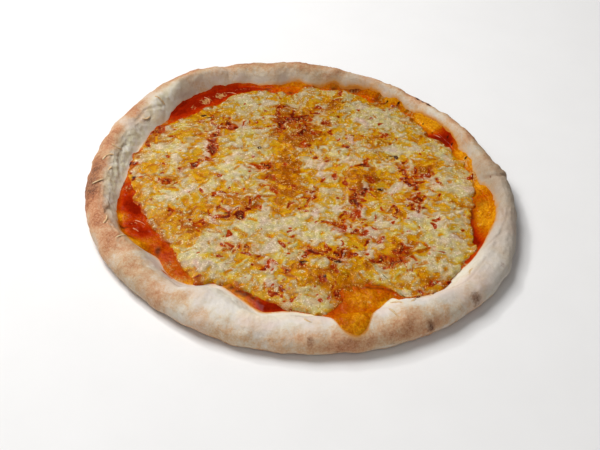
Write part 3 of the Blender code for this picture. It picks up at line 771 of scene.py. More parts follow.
def crust_grid():
    """Radii, heights, shares across the rim and directions of the crust's rows, from the top centre
    out over the rim, down its side and back under it."""
    angle = np.linspace(-180, 180, CRUST_COLUMNS, endpoint=False)[None, :]
    foot = foot_radius(angle)
    crest = crest_radius(angle)
    outer = outer_radius(angle)
    start = foot - INNER_START
    floor = np.linspace(0.1, 0.95, FLOOR_ROWS)[:, None] * start
    inner = start + np.linspace(0, 1, INNER_ROWS)[:, None] * (crest - start)
    turn = np.linspace(0, np.pi / 2, OUTER_ROWS + 1)[1:, None]
    top = np.concatenate((floor, inner, crest + (outer - crest) * np.sin(turn)))
    down = np.linspace(0, np.pi / 2, UNDER_ROWS + 1)[1:, None]
    under = outer - UNDERCUT * (1 - np.cos(down))
    under_height = WIDEST_SHARE * rim_height(angle) * (1 - np.sin(down))
    bottom = np.array(BOTTOM_SHARES)[:, None] * (outer - UNDERCUT)
    radius = np.concatenate((top, under, bottom))
    spread = np.broadcast_to(angle, radius.shape)
    level = np.concatenate((dough_top(top, spread[:len(top)]), under_height, np.zeros_like(bottom)))
    share = (radius - foot) / (outer - foot)
    share[len(top):-len(bottom)] = 1 + 0.5 * np.sin(down)
    share[-len(bottom):] = 1.6
    return radius, level, share, spread


def crust_relief(random, shape):
    """Fine relief of the skin, on rasters that follow the rim round and across."""
    skin = 0.1 * band_noise(random, 2, 5, shape) + 0.06 * band_noise(random, 1, 2, shape)
    puffs = 0.34 * band_noise(random, 8, 20, shape)
    blisters = np.maximum(band_noise(random, 3, 7, shape) - 1.8, 0) * 0.35
    long_way = (shape[0], shape[1] * 2 // 5)
    folded = np.abs(band_noise(random, 1.8, 6, long_way))
    wrinkles = -0.5 * np.exp(-(folded / 0.4) ** 2) + 0.14 * band_noise(random, 1.5, 4, long_way)
    return (skin + puffs + blisters) * MM, wrinkles * MM


def crease_depth(places):
    """Depth of the dough's creases at each place, by distance to the nearest part of each."""
    depth = np.zeros(places.shape[:2])
    flat = places[..., :2]
    for deepest, half_width, line in CREASES:
        knots = np.arange(len(line))
        steps = np.linspace(0, len(line) - 1, 8 * len(line))
        direction, share = (np.interp(steps, knots, values) for values in zip(*line))
        radius = foot_radius(direction) + share * foot_width(direction)
        points = to_places(radius, direction, np.zeros_like(radius))[:, :2]
        nearest = np.full(depth.shape, np.inf)
        for first, last in zip(points[:-1], points[1:]):
            along = last - first
            reach = np.clip(((flat - first) @ along) / (along @ along), 0, 1)
            away = np.linalg.norm(flat - first - reach[..., None] * along, axis=2)
            nearest = np.minimum(nearest, away)
        depth += deepest * MM * np.exp(-(nearest / (half_width * MM)) ** 2)
    return depth


def across_arc(places):
    """Length along each column of a grid, from its first row."""
    steps = np.linalg.norm(np.diff(places, axis=0), axis=2)
    return np.concatenate((np.zeros((1, places.shape[1])), np.cumsum(steps, axis=0)))


def wrapped_read(field, arc, angle):
    """Value of a rim raster at a length across and a direction round."""
    rows, columns = field.shape
    row = np.clip(arc / PITCH, 0, rows - 1.001)
    column = ((angle + 180) / 360 * columns) % columns
    return between_cells(field, row, column)


def rim_zones(table, share, angle):
    """The strongest of the soft zones laid on the rim at each place."""
    total = np.zeros_like(share)
    for direction, half_width, across, half_across, strength in table:
        away = (turn_away(angle, direction) / half_width) ** 2 + ((share - across) / half_across) ** 2
        total = np.maximum(total, strength * np.exp(-away * 0.6))
    return total


def scorching(share, angle):
    total = np.zeros_like(share)
    for direction, across, radius, strength in SCORCHES:
        arc = np.radians(turn_away(angle, direction)) * R_OUTER
        reach = (share - across) * RIM_WIDTH
        total = np.maximum(total, strength * np.exp(-(arc ** 2 + (reach * 1.3) ** 2) / (radius * MM) ** 2))
    return total


def crust_look():
    look = Look("baked_dough_skin")
    bake, scorch, stain, flour = look.attributes("bake", "scorch", "stain", "flour")
    crease_shade, painted_shade, milky = look.attributes("crease_shade", "painted_shade", "milky")
    cloudy = look.noise(16, detail=5, roughness=0.6)
    mottle = look.noise(5, detail=4, roughness=0.6)
    speckle = look.noise(1.5, roughness=0.7)
    dust = look.noise(0.9, roughness=0.6)
    tint = look.noise(34, detail=2)
    heat = look.add_share(look.add_share(bake, cloudy, 0.95), mottle, 0.45)
    freckled = look.math("MULTIPLY_ADD", heat, 0.8, 0.15)
    freckles = look.math("MULTIPLY_ADD", look.math("SUBTRACT", speckle, 0.5), freckled, 0.5)
    skin = look.ramp(look.add_share(heat, freckles, 1.3), (
        (0.0, 216, 208, 198), (0.16, 212, 200, 180), (0.36, 204, 172, 136),
        (0.54, 192, 144, 104), (0.74, 168, 112, 74), (1.0, 112, 68, 42),
    ))
    skin = look.tinted(skin, look.between(tint, 0.42, 0.6), PLAIN, ROSY)
    skin = look.laid_on(skin, look.add_share(flour, mottle, 0.5), 0.2, 0.8, srgb(196, 186, 174), 0.7)
    # Painted shade: the rim's right and far sides darkened as a whole
    skin = look.tinted(skin, painted_shade, PLAIN, SHADE_TINT)
    skin = look.laid_on(skin, dust, 0.55, 0.78, srgb(224, 218, 206), 0.3)
    pallor = look.mix(look.between(mottle, 0.4, 0.6), srgb(230, 224, 188), srgb(240, 236, 222))
    skin = look.laid_on(skin, look.add_share(milky, mottle, 0.5), 0.15, 0.75, pallor, 0.85)
    # Painted shade darkening the creases and wrinkles
    skin = look.laid_on(skin, crease_shade, 0.0, 0.8, srgb(138, 108, 84), 0.35)
    wetness = look.add_share(stain, mottle, 0.5)
    soaked = look.ramp(wetness, ((0.0, 206, 172, 120), (0.5, 200, 134, 46), (1.0, 176, 84, 10)))
    skin = look.laid_on(skin, wetness, 0.15, 0.55, soaked)
    dark = look.times(look.add_share(scorch, speckle, 0.6), look.between(scorch, 0.02, 0.2))
    burnt = look.ramp(dark, ((0.0, 150, 96, 62), (0.6, 84, 52, 38), (1.0, 32, 24, 22)))
    rough = look.math("MULTIPLY_ADD", stain, -0.3, look.between(speckle, 0.3, 0.7, 0.6, 0.82))
    look.cover(look.laid_on(skin, dark, 0.12, 0.62, burnt), rough)
    look.settle(Specular_IOR_Level=0.25)
    look.bump(look.plus(look.plus(look.times(dust, 0.5), speckle), mottle), 0.55, 0.7)
    return look.material


def make_crust():
    radius, level, share, angle = crust_grid()
    places = to_places(radius, angle, level)
    arc = across_arc(places)
    round_cells = int(2 * np.pi * R_OUTER / PITCH)
    random = np.random.default_rng(CRUST_SEED)
    skin, wrinkles = crust_relief(random, (int(arc.max() / PITCH) + 8, round_cells))
    folded = wrapped_read(wrinkles, arc, angle) * rim_zones(WRINKLED, share, angle)
    relief = wrapped_read(skin, arc, angle) + folded
    fade = np.ones((len(radius), 1))
    fade[-FLAT_ROWS:] = 0
    fade[-FLAT_ROWS - FADING_ROWS:-FLAT_ROWS, 0] = np.linspace(0.8, 0.1, FADING_ROWS)
    beyond = radius - sauce_edge(angle)
    fade = fade * (0.1 + 0.9 * np.clip(beyond / RELIEF_START, 0, 1)) * (share > -0.6)
    creases = crease_depth(places) * (share < 1.3) * np.clip(beyond / CREASE_START - 0.1, 0, 1)
    nib = NIB_RISE * np.exp(-(((angle - NIB_DIRECTION) * 2.8) ** 2 + ((share - 1.0) * 27) ** 2) / 9)
    places = places + normals_of(places) * (relief * fade - creases + nib)[..., None]
    places[..., 2] = np.maximum(places[..., 2], 0)
    flat = np.vstack((places.reshape(-1, 3), (0, 0, BASE_THICKNESS), (0, 0, 0))) - MIDDLE
    faces = closed_grid(len(radius), CRUST_COLUMNS)
    crust = new_piece("baked_crust", flat, faces, crust_look(), "crust")
    bake = np.maximum(rim_zones(BROWNING, share, angle), 0.42 * np.clip((share - 1.0) * 4, 0, 1))
    bake[-FLAT_ROWS:] = 0.45
    oily = bells(OILY_SIDES, angle)
    paint(crust, {
        "bake": bake,
        "scorch": scorching(share, angle),
        "stain": np.exp(-np.maximum(beyond, 0) / STAIN_WIDTH) * (0.3 + oily * 0.5) * (share < 1.1),
        # painted shade in the creases and wrinkles
        "crease_shade": np.clip((creases - folded) / CREASE_SHADE_DEPTH, 0, 1),
        "flour": rim_zones(FLOURED, share, angle),
        "milky": rim_zones(MILKY, share, angle),
        # painted shade on the rim's right and far sides
        "painted_shade": np.minimum(bells(SHADED_SIDES, angle), 1),
    }, spare=2)


# Sauce

SAUCE_SEED = 9
SAUCE_COLUMNS = 900
SAUCE_ROWS = 56
# Rows of the sauce that the cheese hides, as shares of the way to those that show
HIDDEN_SHARES = (0.05, 0.5, 0.9)
SAUCE_OVERLAP = 14 * MM
SAUCE_DEPTH = SAUCE_THICKNESS + 0.2 * MM
PUDDLE_RISE = 1.1 * MM
# The sauce thins out over its shoulder, dives into the dough past its edge and spills on there
SAUCE_SHOULDER = 4.5 * MM
SAUCE_DIVE = 1.8 * MM
SAUCE_SPILL = 2.5 * MM
SAUCE_ROOT = 2.6 * MM
# Zones of the sauce, in the terms of the cheese's: deep red pools, and pools of amber oil
RED_POOLS = (
    (-124, -17, 6, 8, 1.1), (-117, -26, 6, 6, 1.0), (-118, -40, 5, 4, 0.9), (-110, -48, 6, 5, 0.9),
    (-103, -57, 5, 6, 0.5), (-94, -72, 5, 5, 0.3), (-84, -86, 4, 4, 0.2), (-129, 2, 5, 7, 0.6),
    (-134, -12, 4, 8, 0.5), (-103, 94, 6, 6, 1.0), (-95, 104, 9, 9, 1.2), (-84, 115, 10, 9, 1.2),
    (-70, 124, 10, 9, 1.1), (-57, 131, 8, 7, 0.9), (-46, 132, 7, 6, 0.8), (-35, 132, 6, 5, 0.5),
    (-21, -119, 7, 5, 1.1), (-10, -119, 8, 4, 1.0), (-33, -110, 5, 4, 0.2), (108, 72, 11, 6, 1.1),
    (116, 65, 6, 8, 1.1), (126, -42, 4, 10, 1.2), (129, -55, 4, 7, 1.0), (126, -24, 3, 8, 0.9),
    (121, -68, 5, 6, 0.7), (113, -79, 4, 5, 0.5), (28, -112, 7, 6, 0.5),
)
AMBER_POOLS = (
    (-127, -32, 4, 4.5, 1.0), (-134, -8, 3, 10, 0.1), (-126, -52, 6, 5, 0.5), (-113, -64, 9, 6, 1.3),
    (-104, -57, 6, 4, 0.7), (-76, -98, 8, 5, 0.9), (-86, -84, 7, 8, 0.5), (-47, -102, 5, 3, 0.8),
    (-38, -111, 6, 4, 0.9), (-30, -118, 3, 3, 0.8), (-28, -124, 5, 3, 0.5), (-8, 138, 9, 8, 0.45),
    (-12, 128, 6, 8, 0.1), (2, 132, 7, 8, 0.2), (24, 138, 9, 6, 0.4), (42, 133, 7, 5, 0.2),
    (58, 128, 7, 8, 0.5), (75, 118, 8, 6, 1.1), (100, 95, 9, 7, 1.2), (107, 86, 8, 9, 1.3),
    (125, 48, 6, 9, 0.9), (131, 34, 5, 8, 0.6), (135, 12, 7, 10, 1.1), (139, -8, 6, 6, 0.8),
    (136, -25, 9, 13, 1.3), (46, -110, 18, 11, 1.0), (40, -142, 11, 12, 1.05), (34, -128, 8, 5, 0.5),
    (118, 58, 5, 5, 0.5), (112, -78, 5, 4, 0.8), (-128, 25, 6, 6, 0.6), (-113, 84, 5, 5, 0.5),
    (88, 108, 7, 5, 0.9),
)
# Where oil stands high on the sauce
SWOLLEN_POOLS = (
    (44, -107, 20, 10, 1.2), (43, -124, 14, 8, 0.5), (-118, -25, 6, 12, 0.4), (-12, 134, 9, 7, 0.5),
)
# Brown baked streaks
BROWN_STREAKS = (
    (-43, -101, 4, 1.6, 0.9), (-38, -104.5, 3, 1.8, 1.0), (-33, -107.5, 3, 2, 1.0),
    (-28, -111, 2.5, 2.2, 0.9), (-24, -115, 2, 2.5, 0.7), (-88, -80, 2, 5, 0.5), (-97, -66, 3, 3, 0.5),
    (28, -126, 5, 2, 0.5), (52, -99, 12, 1.5, 0.7), (66, -101, 6, 1.5, 0.6), (44, 133, 5, 2.5, 1.0),
    (62, 121, 4, 2.5, 0.8), (66, 117, 2.0, 1.4, 0.6), (27, 135, 4, 2.0, 0.8), (-9, 128, 3, 2.0, 0.8),
    (-29, 133, 4, 2, 0.8), (77, 108, 2.5, 2, 0.8), (36, 137, 2, 2, 0.5), (-38, 134, 5, 1.5, 0.5),
    (-118, -56, 3, 4, 0.6), (-97, -68, 2, 4, 0.7), (127, -20, 2.5, 7, 0.9), (134, -9, 5, 4, 0.4),
    (141, -20, 1.0, 1.0, 0.8), (127, -36, 1.5, 6, 0.6), (70, 115, 2, 0.8, 0.8), (79, 110, 1.8, 0.8, 0.8),
    (86, 104, 3, 1.2, 0.7), (46, -136, 2, 3, 0.5), (-8, 143, 7, 1.4, 0.6), (-103, 88, 3, 3, 0.5),
    (112, 68, 4, 3, 0.4), (139, -4, 4, 4, 0.35), (123, -47, 1.2, 2, 0.8), (-127, -46, 2, 4, 0.6),
    (-124, -44, 6, 1.0, 0.9), (-122, -32, 1.0, 4, 0.45), (-126, -1, 5, 4, 0.5), (-122, 4, 2.5, 2, 0.6),
    (-130, 6, 2, 3, 0.5), (-128, -24.5, 3, 1.0, 0.5),
)
# Where crumbs and a milky film of cheese lie on the sauce
FILM_AREAS = (
    (-129, 44, 4, 9, 1.0), (-124, 58, 4, 8, 1.0), (-118, 72, 5, 7, 0.9), (-110, 84, 5, 5, 0.6),
    (-131, 30, 4, 5, 0.6), (-117, -39, 6, 3, 0.45), (-66, 122, 6, 5, 0.62), (-78, 113, 5, 6, 0.66),
    (-88, 104, 4, 4, 0.4), (-88, -82, 6, 8, 0.5), (-78, -95, 6, 4, 0.5), (46, 132, 8, 4, 0.4),
    (16, 138, 7, 5, 0.4), (48, -112, 5, 3, 0.5), (30, -116, 4, 3, 0.5), (-128, 0, 5, 4, 0.5),
    (-50, 132, 8, 3, 0.4), (134, 24, 4, 7, 0.8), (128, 40, 4, 6, 0.6), (90, 102, 6, 4, 0.5),
    (70, 120, 7, 4, 0.5), (74, -103, 7, 4, 0.7), (90, -110, 8, 4, 0.6), (104, -98, 6, 5, 0.6),
    (118, -76, 4, 8, 0.7), (-58, -101, 9, 4, 0.6), (2, -121, 8, 3, 0.6), (16, -127, 7, 3, 0.7),
)


def sauce_look():
    look = Look("tomato_sauce_wet")
    oil, edge, burn, film, rough_part = look.attributes("oil", "edge", "burn", "film", "rough_part")
    cloudy = look.noise(7, detail=5, roughness=0.6)
    pulp = look.noise(2.0)
    speck = look.noise(0.9, detail=2)
    pulpy = look.times(look.math("SUBTRACT", pulp, 0.5), rough_part)
    amount = look.add_share(look.add_share(oil, cloudy, 0.5), pulpy, 1.0, middle=0.0)
    colour = look.ramp(amount, (
        (0.0, 120, 18, 0), (0.2, 158, 34, 0), (0.4, 176, 58, 0),
        (0.58, 184, 80, 0), (0.78, 192, 106, 0), (1.0, 220, 148, 16),
    ))
    dark = look.times(look.add_share(edge, pulp, 0.8), look.between(edge, 0.05, 0.3))
    colour = look.laid_on(colour, dark, 0.2, 0.9, srgb(84, 34, 10), 0.85)
    crumbs = look.between(look.add_share(film, pulp, 1.5), 0.4, 0.7, 0.0, 0.85)
    milky = look.ramp(speck, ((0.3, 186, 120, 46), (0.5, 184, 144, 84), (0.7, 190, 166, 118)))
    colour = look.mix(look.times(crumbs, look.between(film, 0.05, 0.3)), colour, milky)
    colour = look.laid_on(colour, look.add_share(burn, speck, 0.5), 0.3, 0.6, srgb(52, 20, 12))
    colour = look.tinted(colour, look.between(speck, 0.34, 0.66), (0.84, 0.8, 0.8), (1.14, 1.18, 1.2))
    look.cover(colour, look.between(pulp, 0.3, 0.7, 0.35, 0.55))
    look.settle(Specular_IOR_Level=0.0, Coat_Weight=0.1, Coat_Roughness=0.06)
    grainy = look.between(oil, 0.1, 0.5, 0.04, 0.9)
    look.bump(look.plus(pulp, speck), grainy, 0.9)
    look.bump(look.plus(cloudy, pulp), grainy, 0.9, "Coat Normal")
    return look.material


def make_sauce():
    random = np.random.default_rng(SAUCE_SEED)
    angle = np.linspace(-180, 180, SAUCE_COLUMNS, endpoint=False)[None, :]
    edge = sauce_edge(angle) + SAUCE_SPILL
    start = cheese_edge(angle) - SAUCE_OVERLAP
    out = np.linspace(0, 1, SAUCE_ROWS)[:, None]
    shown = start + (edge - start) * (1 - (1 - out) ** 1.15)
    top = np.concatenate((np.array(HIDDEN_SHARES)[:, None] * start, shown))
    spread = np.broadcast_to(angle, top.shape)
    x, y = to_plan(top, spread)

    def noise(fine, coarse):
        return read_raster(band_noise(random, fine, coarse), x, y)

    broad = noise(7, 18)
    waves = 0.3 * noise(3, 8) + 0.14 * noise(1.5, 3)
    waves = waves * (1 - 0.85 * np.minimum(zones(RED_POOLS, x, y), 1))
    inset = edge - top + (0.16 * broad + 0.1 * noise(2.5, 6)) * MM - SAUCE_SPILL
    taper = np.clip(np.where(inset > 0, inset / SAUCE_SHOULDER, inset / SAUCE_DIVE), -1.3, 1)
    puddle = PUDDLE_RISE * np.minimum(zones(SWOLLEN_POOLS, x, y), 1)
    level = dough_top(top, spread) + (waves * MM + puddle) * np.clip(taper, 0, 1)
    level += SAUCE_DEPTH * taper
    under = top[::-2]
    under_level = dough_top(under, spread[::-2]) - SAUCE_ROOT
    radius = np.concatenate((top, under))
    places = to_places(radius, np.broadcast_to(angle, radius.shape), np.concatenate((level, under_level)))
    centres = ((0, 0, BASE_THICKNESS + SAUCE_THICKNESS), (0, 0, BASE_THICKNESS - 1.2 * MM))
    flat = np.vstack((places.reshape(-1, 3), centres))
    faces = closed_grid(len(radius), SAUCE_COLUMNS)
    sauce = new_piece("sauce_layer", flat - MIDDLE, faces, sauce_look(), "sauce")
    amber, red, film, streaks, burn = (
        zones(table, flat[:, 0], flat[:, 1])
        for table in (AMBER_POOLS, RED_POOLS, FILM_AREAS, BROWN_STREAKS, BURNT_MARKS))
    thin = np.clip(1 - np.append(np.concatenate((taper, taper[::-2])), (1, 1)), 0, 1)
    paint(sauce, {
        "oil": np.clip(0.42 + 0.45 * amber - 0.4 * red + 0.2 * thin, 0, 1),
        "film": np.minimum(film, 1),
        "rough_part": np.clip(0.75 - 0.65 * red, 0.12, 1),
        "edge": np.clip(streaks + np.clip(thin - 0.75, 0, 1), 0, 1),
        "burn": np.minimum(burn, 1),
    })


# Cheese

CHEESE_SIDE = 290
CHEESE_REACH = 1.2 * MM
# The cheese rises over its shoulder and on over a long slope, wanders at its edge, and dives past it
EDGE_SHOULDER = 3.5 * MM
EDGE_SLOPE = 18 * MM
EDGE_WANDER = 0.9 * MM
EDGE_SPILL = 5 * MM
DIVE_WIDTH = 1.4 * MM
DIVE_DEPTH = 4.2 * MM
# Rings under the cheese, as shares of its edge's radius, and how deep they lie in the dough
UNDER_SHARES = (0.998, 0.97, 0.93, 0.88, 0.8, 0.7, 0.3)
EDGE_SUNK = 3.4 * MM
MIDDLE_SUNK = 0.6 * MM
BAKED_WIDTH = 3.5 * MM
RED_LINE_WIDTH = 1.5 * MM
# Painted shade: the cheese darkens toward its far side, where the light falls off
SHADE_START = 25 * MM
SHADE_SPAN = 80 * MM
# Sides where the cheese runs out pale, not browned: direction, half width in degrees, share
PALE_EDGES = ((-36, 13, 0.95), (-88, 9, 0.8), (-119, 5, 0.7), (15, 9, 0.5), (-178, 5, 0.6), (68, 10, 0.3))


def disc_grid(side):
    """Evenly spaced places on a unit disc, as a square grid wrapped onto it."""
    steps = np.linspace(-1, 1, side)
    a, b = np.meshgrid(steps, steps)
    wide = np.abs(a) > np.abs(b)
    safe_a = np.where(a == 0, 1e-9, a)
    safe_b = np.where(b == 0, 1e-9, b)
    radius = np.where(wide, a, b)
    turn = np.where(wide, np.pi / 4 * b / safe_a, np.pi / 2 - np.pi / 4 * a / safe_b)
    return radius * np.cos(turn), radius * np.sin(turn)


def cheese_look():
    look = Look("melted_cheese_skin")
    cream, gold, red, burn, veil, painted_shade = look.attributes("cream", "gold", "red", "burn", "veil", "painted_shade")
    grain = look.noise(1.3, roughness=0.65)
    crumb = look.noise(2.6, detail=2)
    speck = look.noise(0.9, detail=2)
    tint = look.noise(9, detail=4, roughness=0.6)
    clear = look.noise(6)
    depth = look.noise(4, roughness=0.65)
    restless = look.between(cream, 0.35, 0.8, 0.5, 0.12)
    creamy = look.add_share(look.add_share(cream, grain, restless), crumb, restless)
    pale = look.ramp(creamy, (
        (0.0, 158, 106, 36), (0.3, 166, 128, 66), (0.55, 174, 143, 88),
        (0.78, 182, 155, 110), (1.0, 202, 182, 154),
    ))
    yellow = look.ramp(creamy, (
        (0.0, 176, 112, 0), (0.3, 186, 134, 0), (0.55, 190, 150, 20),
        (0.78, 192, 164, 66), (1.0, 200, 184, 116),
    ))
    pale = look.laid_on(pale, tint, 0.46, 0.6, yellow)
    greenish = look.times(look.between(clear, 0.46, 0.6, 0.0, 0.6), look.between(creamy, 0.5, 0.8))
    pale = look.mix(greenish, pale, srgb(177, 168, 120))
    pinkish = look.times(look.add_share(veil, crumb, 1.0), 0.65)
    pale = look.mix(pinkish, pale, look.mix(creamy, srgb(160, 76, 40), srgb(198, 160, 152)))
    oily = look.add_share(look.add_share(gold, grain, 0.3), crumb, 0.4)
    amber = look.ramp(oily, (
        (0.0, 190, 142, 26), (0.3, 194, 138, 2), (0.55, 192, 124, 0),
        (0.78, 172, 98, 0), (1.0, 138, 60, 0),
    ))
    sauce = look.ramp(look.add_share(red, speck, 0.6), (
        (0.0, 181, 91, 0), (0.35, 170, 63, 0), (0.65, 145, 38, 0), (1.0, 88, 18, 0),
    ))
    colour = look.laid_on(amber, creamy, 0.24, 0.6, pale)
    colour = look.laid_on(colour, look.add_share(red, grain, 0.35), 0.1, 0.36, sauce)
    colour = look.laid_on(colour, look.add_share(burn, speck, 0.5), 0.3, 0.6, srgb(62, 22, 12))
    colour = look.tinted(colour, look.between(speck, 0.36, 0.64), (0.87, 0.85, 0.82), (1.12, 1.14, 1.16))
    colour = look.tinted(colour, look.between(depth, 0.36, 0.64), (0.8, 0.8, 0.8), (1.13, 1.12, 1.12))
    # Painted shade, darker toward the far side
    colour = look.tinted(colour, painted_shade, PLAIN, (0.8, 0.8, 0.76))
    # Painted highlights: small pale glints laid on the colour in specks
    painted_glints = look.times(speck, look.between(crumb, 0.35, 0.55))
    glint = look.mix(look.between(creamy, 0.3, 0.58), srgb(238, 190, 96), srgb(236, 224, 190))
    colour = look.laid_on(colour, painted_glints, 0.55, 0.64, glint, 0.8)
    look.cover(colour, look.between(grain, 0.3, 0.7, 0.35, 0.55))
    look.settle(Subsurface_Weight=0.25, Subsurface_Radius=(1.0, 0.6, 0.3), Subsurface_Scale=2 * MM)
    look.settle(Specular_IOR_Level=0.0, Coat_Weight=0.16, Coat_Roughness=0.1)
    look.bump(grain, look.between(cream, 0.4, 0.8, 0.65, 0.25), 0.7)
    look.bump(look.plus(crumb, look.times(grain, 0.4)), 0.75, 1.0, "Coat Normal")
    return look.material


def cheese_level(fields, radius, angle, inset):
    """Height of the cheese's top: bed, swelling edge, mounds and fine relief, and its dive at the edge."""
    x, y = to_plan(radius, angle)
    swell = np.sqrt(1 - (1 - np.clip(inset / EDGE_SHOULDER, 0, 1)) ** 2)
    roll = 0.3 * swell + 0.7 * np.clip(inset / EDGE_SLOPE, 0, 1)
    bed = dough_top(radius, angle) + SAUCE_THICKNESS + 0.5 * MM
    body = CHEESE_THICKNESS + mound_field(MOUNDS, x, y)
    body += mound_field(np.array(DOMES) * MM, x, y)
    body *= 1 - np.minimum(zones(THIN_AREAS, x, y), 0.8)
    relief = read_raster(fields["relief"], x, y) * (0.3 + 0.7 * roll)
    return bed + body * roll + relief - np.clip(-inset / DIVE_WIDTH, 0, 1) * DIVE_DEPTH


def under_faces(loop, first, rings):
    """Faces from a border of vertices over rings of as many, which start at first, to a middle point."""
    faces = []
    ring = len(loop)
    inner = first + ring * (rings - 1)
    for step in range(ring):
        after = (step + 1) % ring
        faces.append((int(loop[after]), int(loop[step]), first + step, first + after))
        for row in range(first, inner, ring):
            faces.append((row + after, row + step, row + ring + step, row + ring + after))
        faces.append((inner + after, inner + step, inner + ring))
    return faces


def cheese_mesh(top, angle, edge):
    """Places and faces of the cheese: its top grid, rings under it and a middle point."""
    index = np.arange(CHEESE_SIDE * CHEESE_SIDE).reshape(CHEESE_SIDE, CHEESE_SIDE)
    loop = np.concatenate((index[0, :-1], index[:-1, -1], index[-1, :0:-1], index[:0:-1, 0]))
    quads = np.stack((index[:-1, :-1], index[:-1, 1:], index[1:, 1:], index[1:, :-1]), axis=-1)
    around = angle.reshape(-1)[loop]
    outermost = edge.reshape(-1)[loop]
    rings = []
    for inward in UNDER_SHARES:
        sunk = EDGE_SUNK if inward > 0.95 else MIDDLE_SUNK
        rings.append(to_places(outermost * inward, around, dough_top(outermost * inward, around) - sunk))
    centre = (0, 0, BASE_THICKNESS - MIDDLE_SUNK)
    faces = quads.reshape(-1, 4).tolist() + under_faces(loop, len(top), len(rings))
    return np.vstack((top, *rings, centre)), faces


def make_cheese():
    fields = cheese_fields()
    unit_x, unit_y = disc_grid(CHEESE_SIDE)
    angle = np.degrees(np.arctan2(unit_y, unit_x))
    edge = np.minimum(cheese_edge(angle), sauce_edge(angle) + CHEESE_REACH) + EDGE_SPILL
    radius = np.hypot(unit_x, unit_y) * edge
    x, y = to_plan(radius, angle)
    cream, gold, red, veil, ragged = (
        read_raster(fields[name], x, y) for name in ("cream", "gold", "red", "veil", "ragged"))
    inset = edge - EDGE_SPILL - radius + ragged * EDGE_WANDER
    top = np.stack((x, y, cheese_level(fields, radius, angle, inset)), axis=-1).reshape(-1, 3)
    places, faces = cheese_mesh(top, angle, edge)
    cheese = new_piece("cheese_layer", places - MIDDLE, faces, cheese_look(), "cheese")
    baked = np.clip(0.6 + 0.5 * ragged, 0.05, 1) * (1 - np.minimum(bells(PALE_EDGES, angle), 1))
    near_edge = np.exp(-np.maximum(inset, 0) / BAKED_WIDTH) * baked
    soaked = np.minimum(zones(SOAKED_AREAS, x, y), 1)
    stored = {
        "cream": (cream - 0.55 * near_edge) * (1 - 0.9 * soaked),
        "gold": drawn_to(gold + 0.5 * near_edge, 0.85, soaked),
        "red": red + 0.4 * np.exp(-np.maximum(inset, 0) / RED_LINE_WIDTH) * baked,
        "burn": zones(BURNT_MARKS, x, y),
        "veil": veil * (1 - soaked),
        # painted shade toward the far side
        "painted_shade": (y - SHADE_START) / SHADE_SPAN,
    }
    stored = {name: np.clip(values, 0, 1) for name, values in stored.items()}
    paint(cheese, stored, spare=len(places) - len(top))


# Shreds

# Loose shreds baked onto the rim, as on the part: direction, share across, turn, length in mm
RIM_SHREDS = (
    (171, 0.58, 55, 11), (166, 0.45, 10, 8), (176, 0.40, 80, 7), (-177, 0.62, 30, 9), (-160, 0.50, 60, 9),
    (-152, 0.46, 20, 10), (-64, 0.62, 12, 13), (-61, 0.34, 15, 12), (-57, 0.44, 120, 10),
    (-52, 0.30, 40, 9), (148, 0.34, 75, 8), (139, 0.42, 20, 9), (-37, 0.36, 100, 8), (-87, 0.50, 30, 8),
)
# Melted strands that lie over the bare sauce: x and y of both ends, bend aside and width in mm
POOL_STRANDS = (
    (-121, -44, -113, -48, 1, 0.8), (-118, -36, -109, -41, 1.0, 0.7), (-92, -92, -83, -99, 1, 1.0),
    (-80, 119, -75, 110, 2, 0.7), (-62, 126, -52, 122, 2, 0.7), (106, 76, 112, 72, 0.6, 0.6),
)
SHRED_HALF_WIDTH = 0.8 * MM
SHRED_THICKNESS = 0.45 * MM
STRAND_THICKNESS = 0.3 * MM
STRAND_LIFT = SAUCE_THICKNESS + 0.2 * MM
RIM_LIFT = 0.15 * MM
SHRED_SEED = 17
SHRED_STEPS = 22
SHRED_SIDES = 12


def strip(points, half_width, thickness, wave):
    """A flat shred with round edges and drawn-out ends, laid along points on a surface."""
    along = np.gradient(points, axis=0)
    along /= np.linalg.norm(along, axis=1, keepdims=True)
    aside = np.cross((0, 0, 1), along)
    aside /= np.linalg.norm(aside, axis=1, keepdims=True)
    up = np.cross(along, aside)
    reach = np.linspace(-1, 1, len(points))
    taper = np.sqrt(np.clip(1 - np.abs(reach) ** 3, 0.02, 1))
    turn = np.linspace(0, 2 * np.pi, SHRED_SIDES, endpoint=False)
    rings = []
    for point, side, rise, share, wide in zip(points, aside, up, taper, wave):
        flat = np.cos(turn)[:, None] * side * half_width * share * wide
        high = np.sin(turn)[:, None] * rise * thickness * share
        rings.append(point + flat + high)
    return np.concatenate(rings)


def bent_line(middle, span, middle_bend, end_bend):
    """Points along a span, moved aside by one length at its middle and another at its ends."""
    reach = np.linspace(-0.5, 0.5, SHRED_STEPS)[:, None]
    aside = np.array((-span[1], span[0])) / np.linalg.norm(span)
    return middle + reach * span + (middle_bend + (end_bend - middle_bend) * reach ** 2 * 4) * aside


def shred_paths(random):
    """Line, half width, thickness and lift of every loose shred and melted strand."""
    paths = []
    for direction, share, turn, length in RIM_SHREDS:
        radius = float(foot_radius(direction) + share * foot_width(direction))
        middle = to_places(radius, direction, 0.0)[:2]
        heading = math.radians(direction + turn)
        span = np.array((math.cos(heading), math.sin(heading))) * length * MM
        line = bent_line(middle, span, 0, length * MM * random.uniform(-0.25, 0.25))
        paths.append((line, SHRED_HALF_WIDTH, SHRED_THICKNESS, RIM_LIFT))
    for first_x, first_y, last_x, last_y, bend, width in POOL_STRANDS:
        first = np.array((first_x, first_y)) * MM
        last = np.array((last_x, last_y)) * MM
        line = bent_line((first + last) / 2, last - first, bend * MM, 0)
        paths.append((line, width * MM * 0.6, STRAND_THICKNESS, STRAND_LIFT))
    return paths


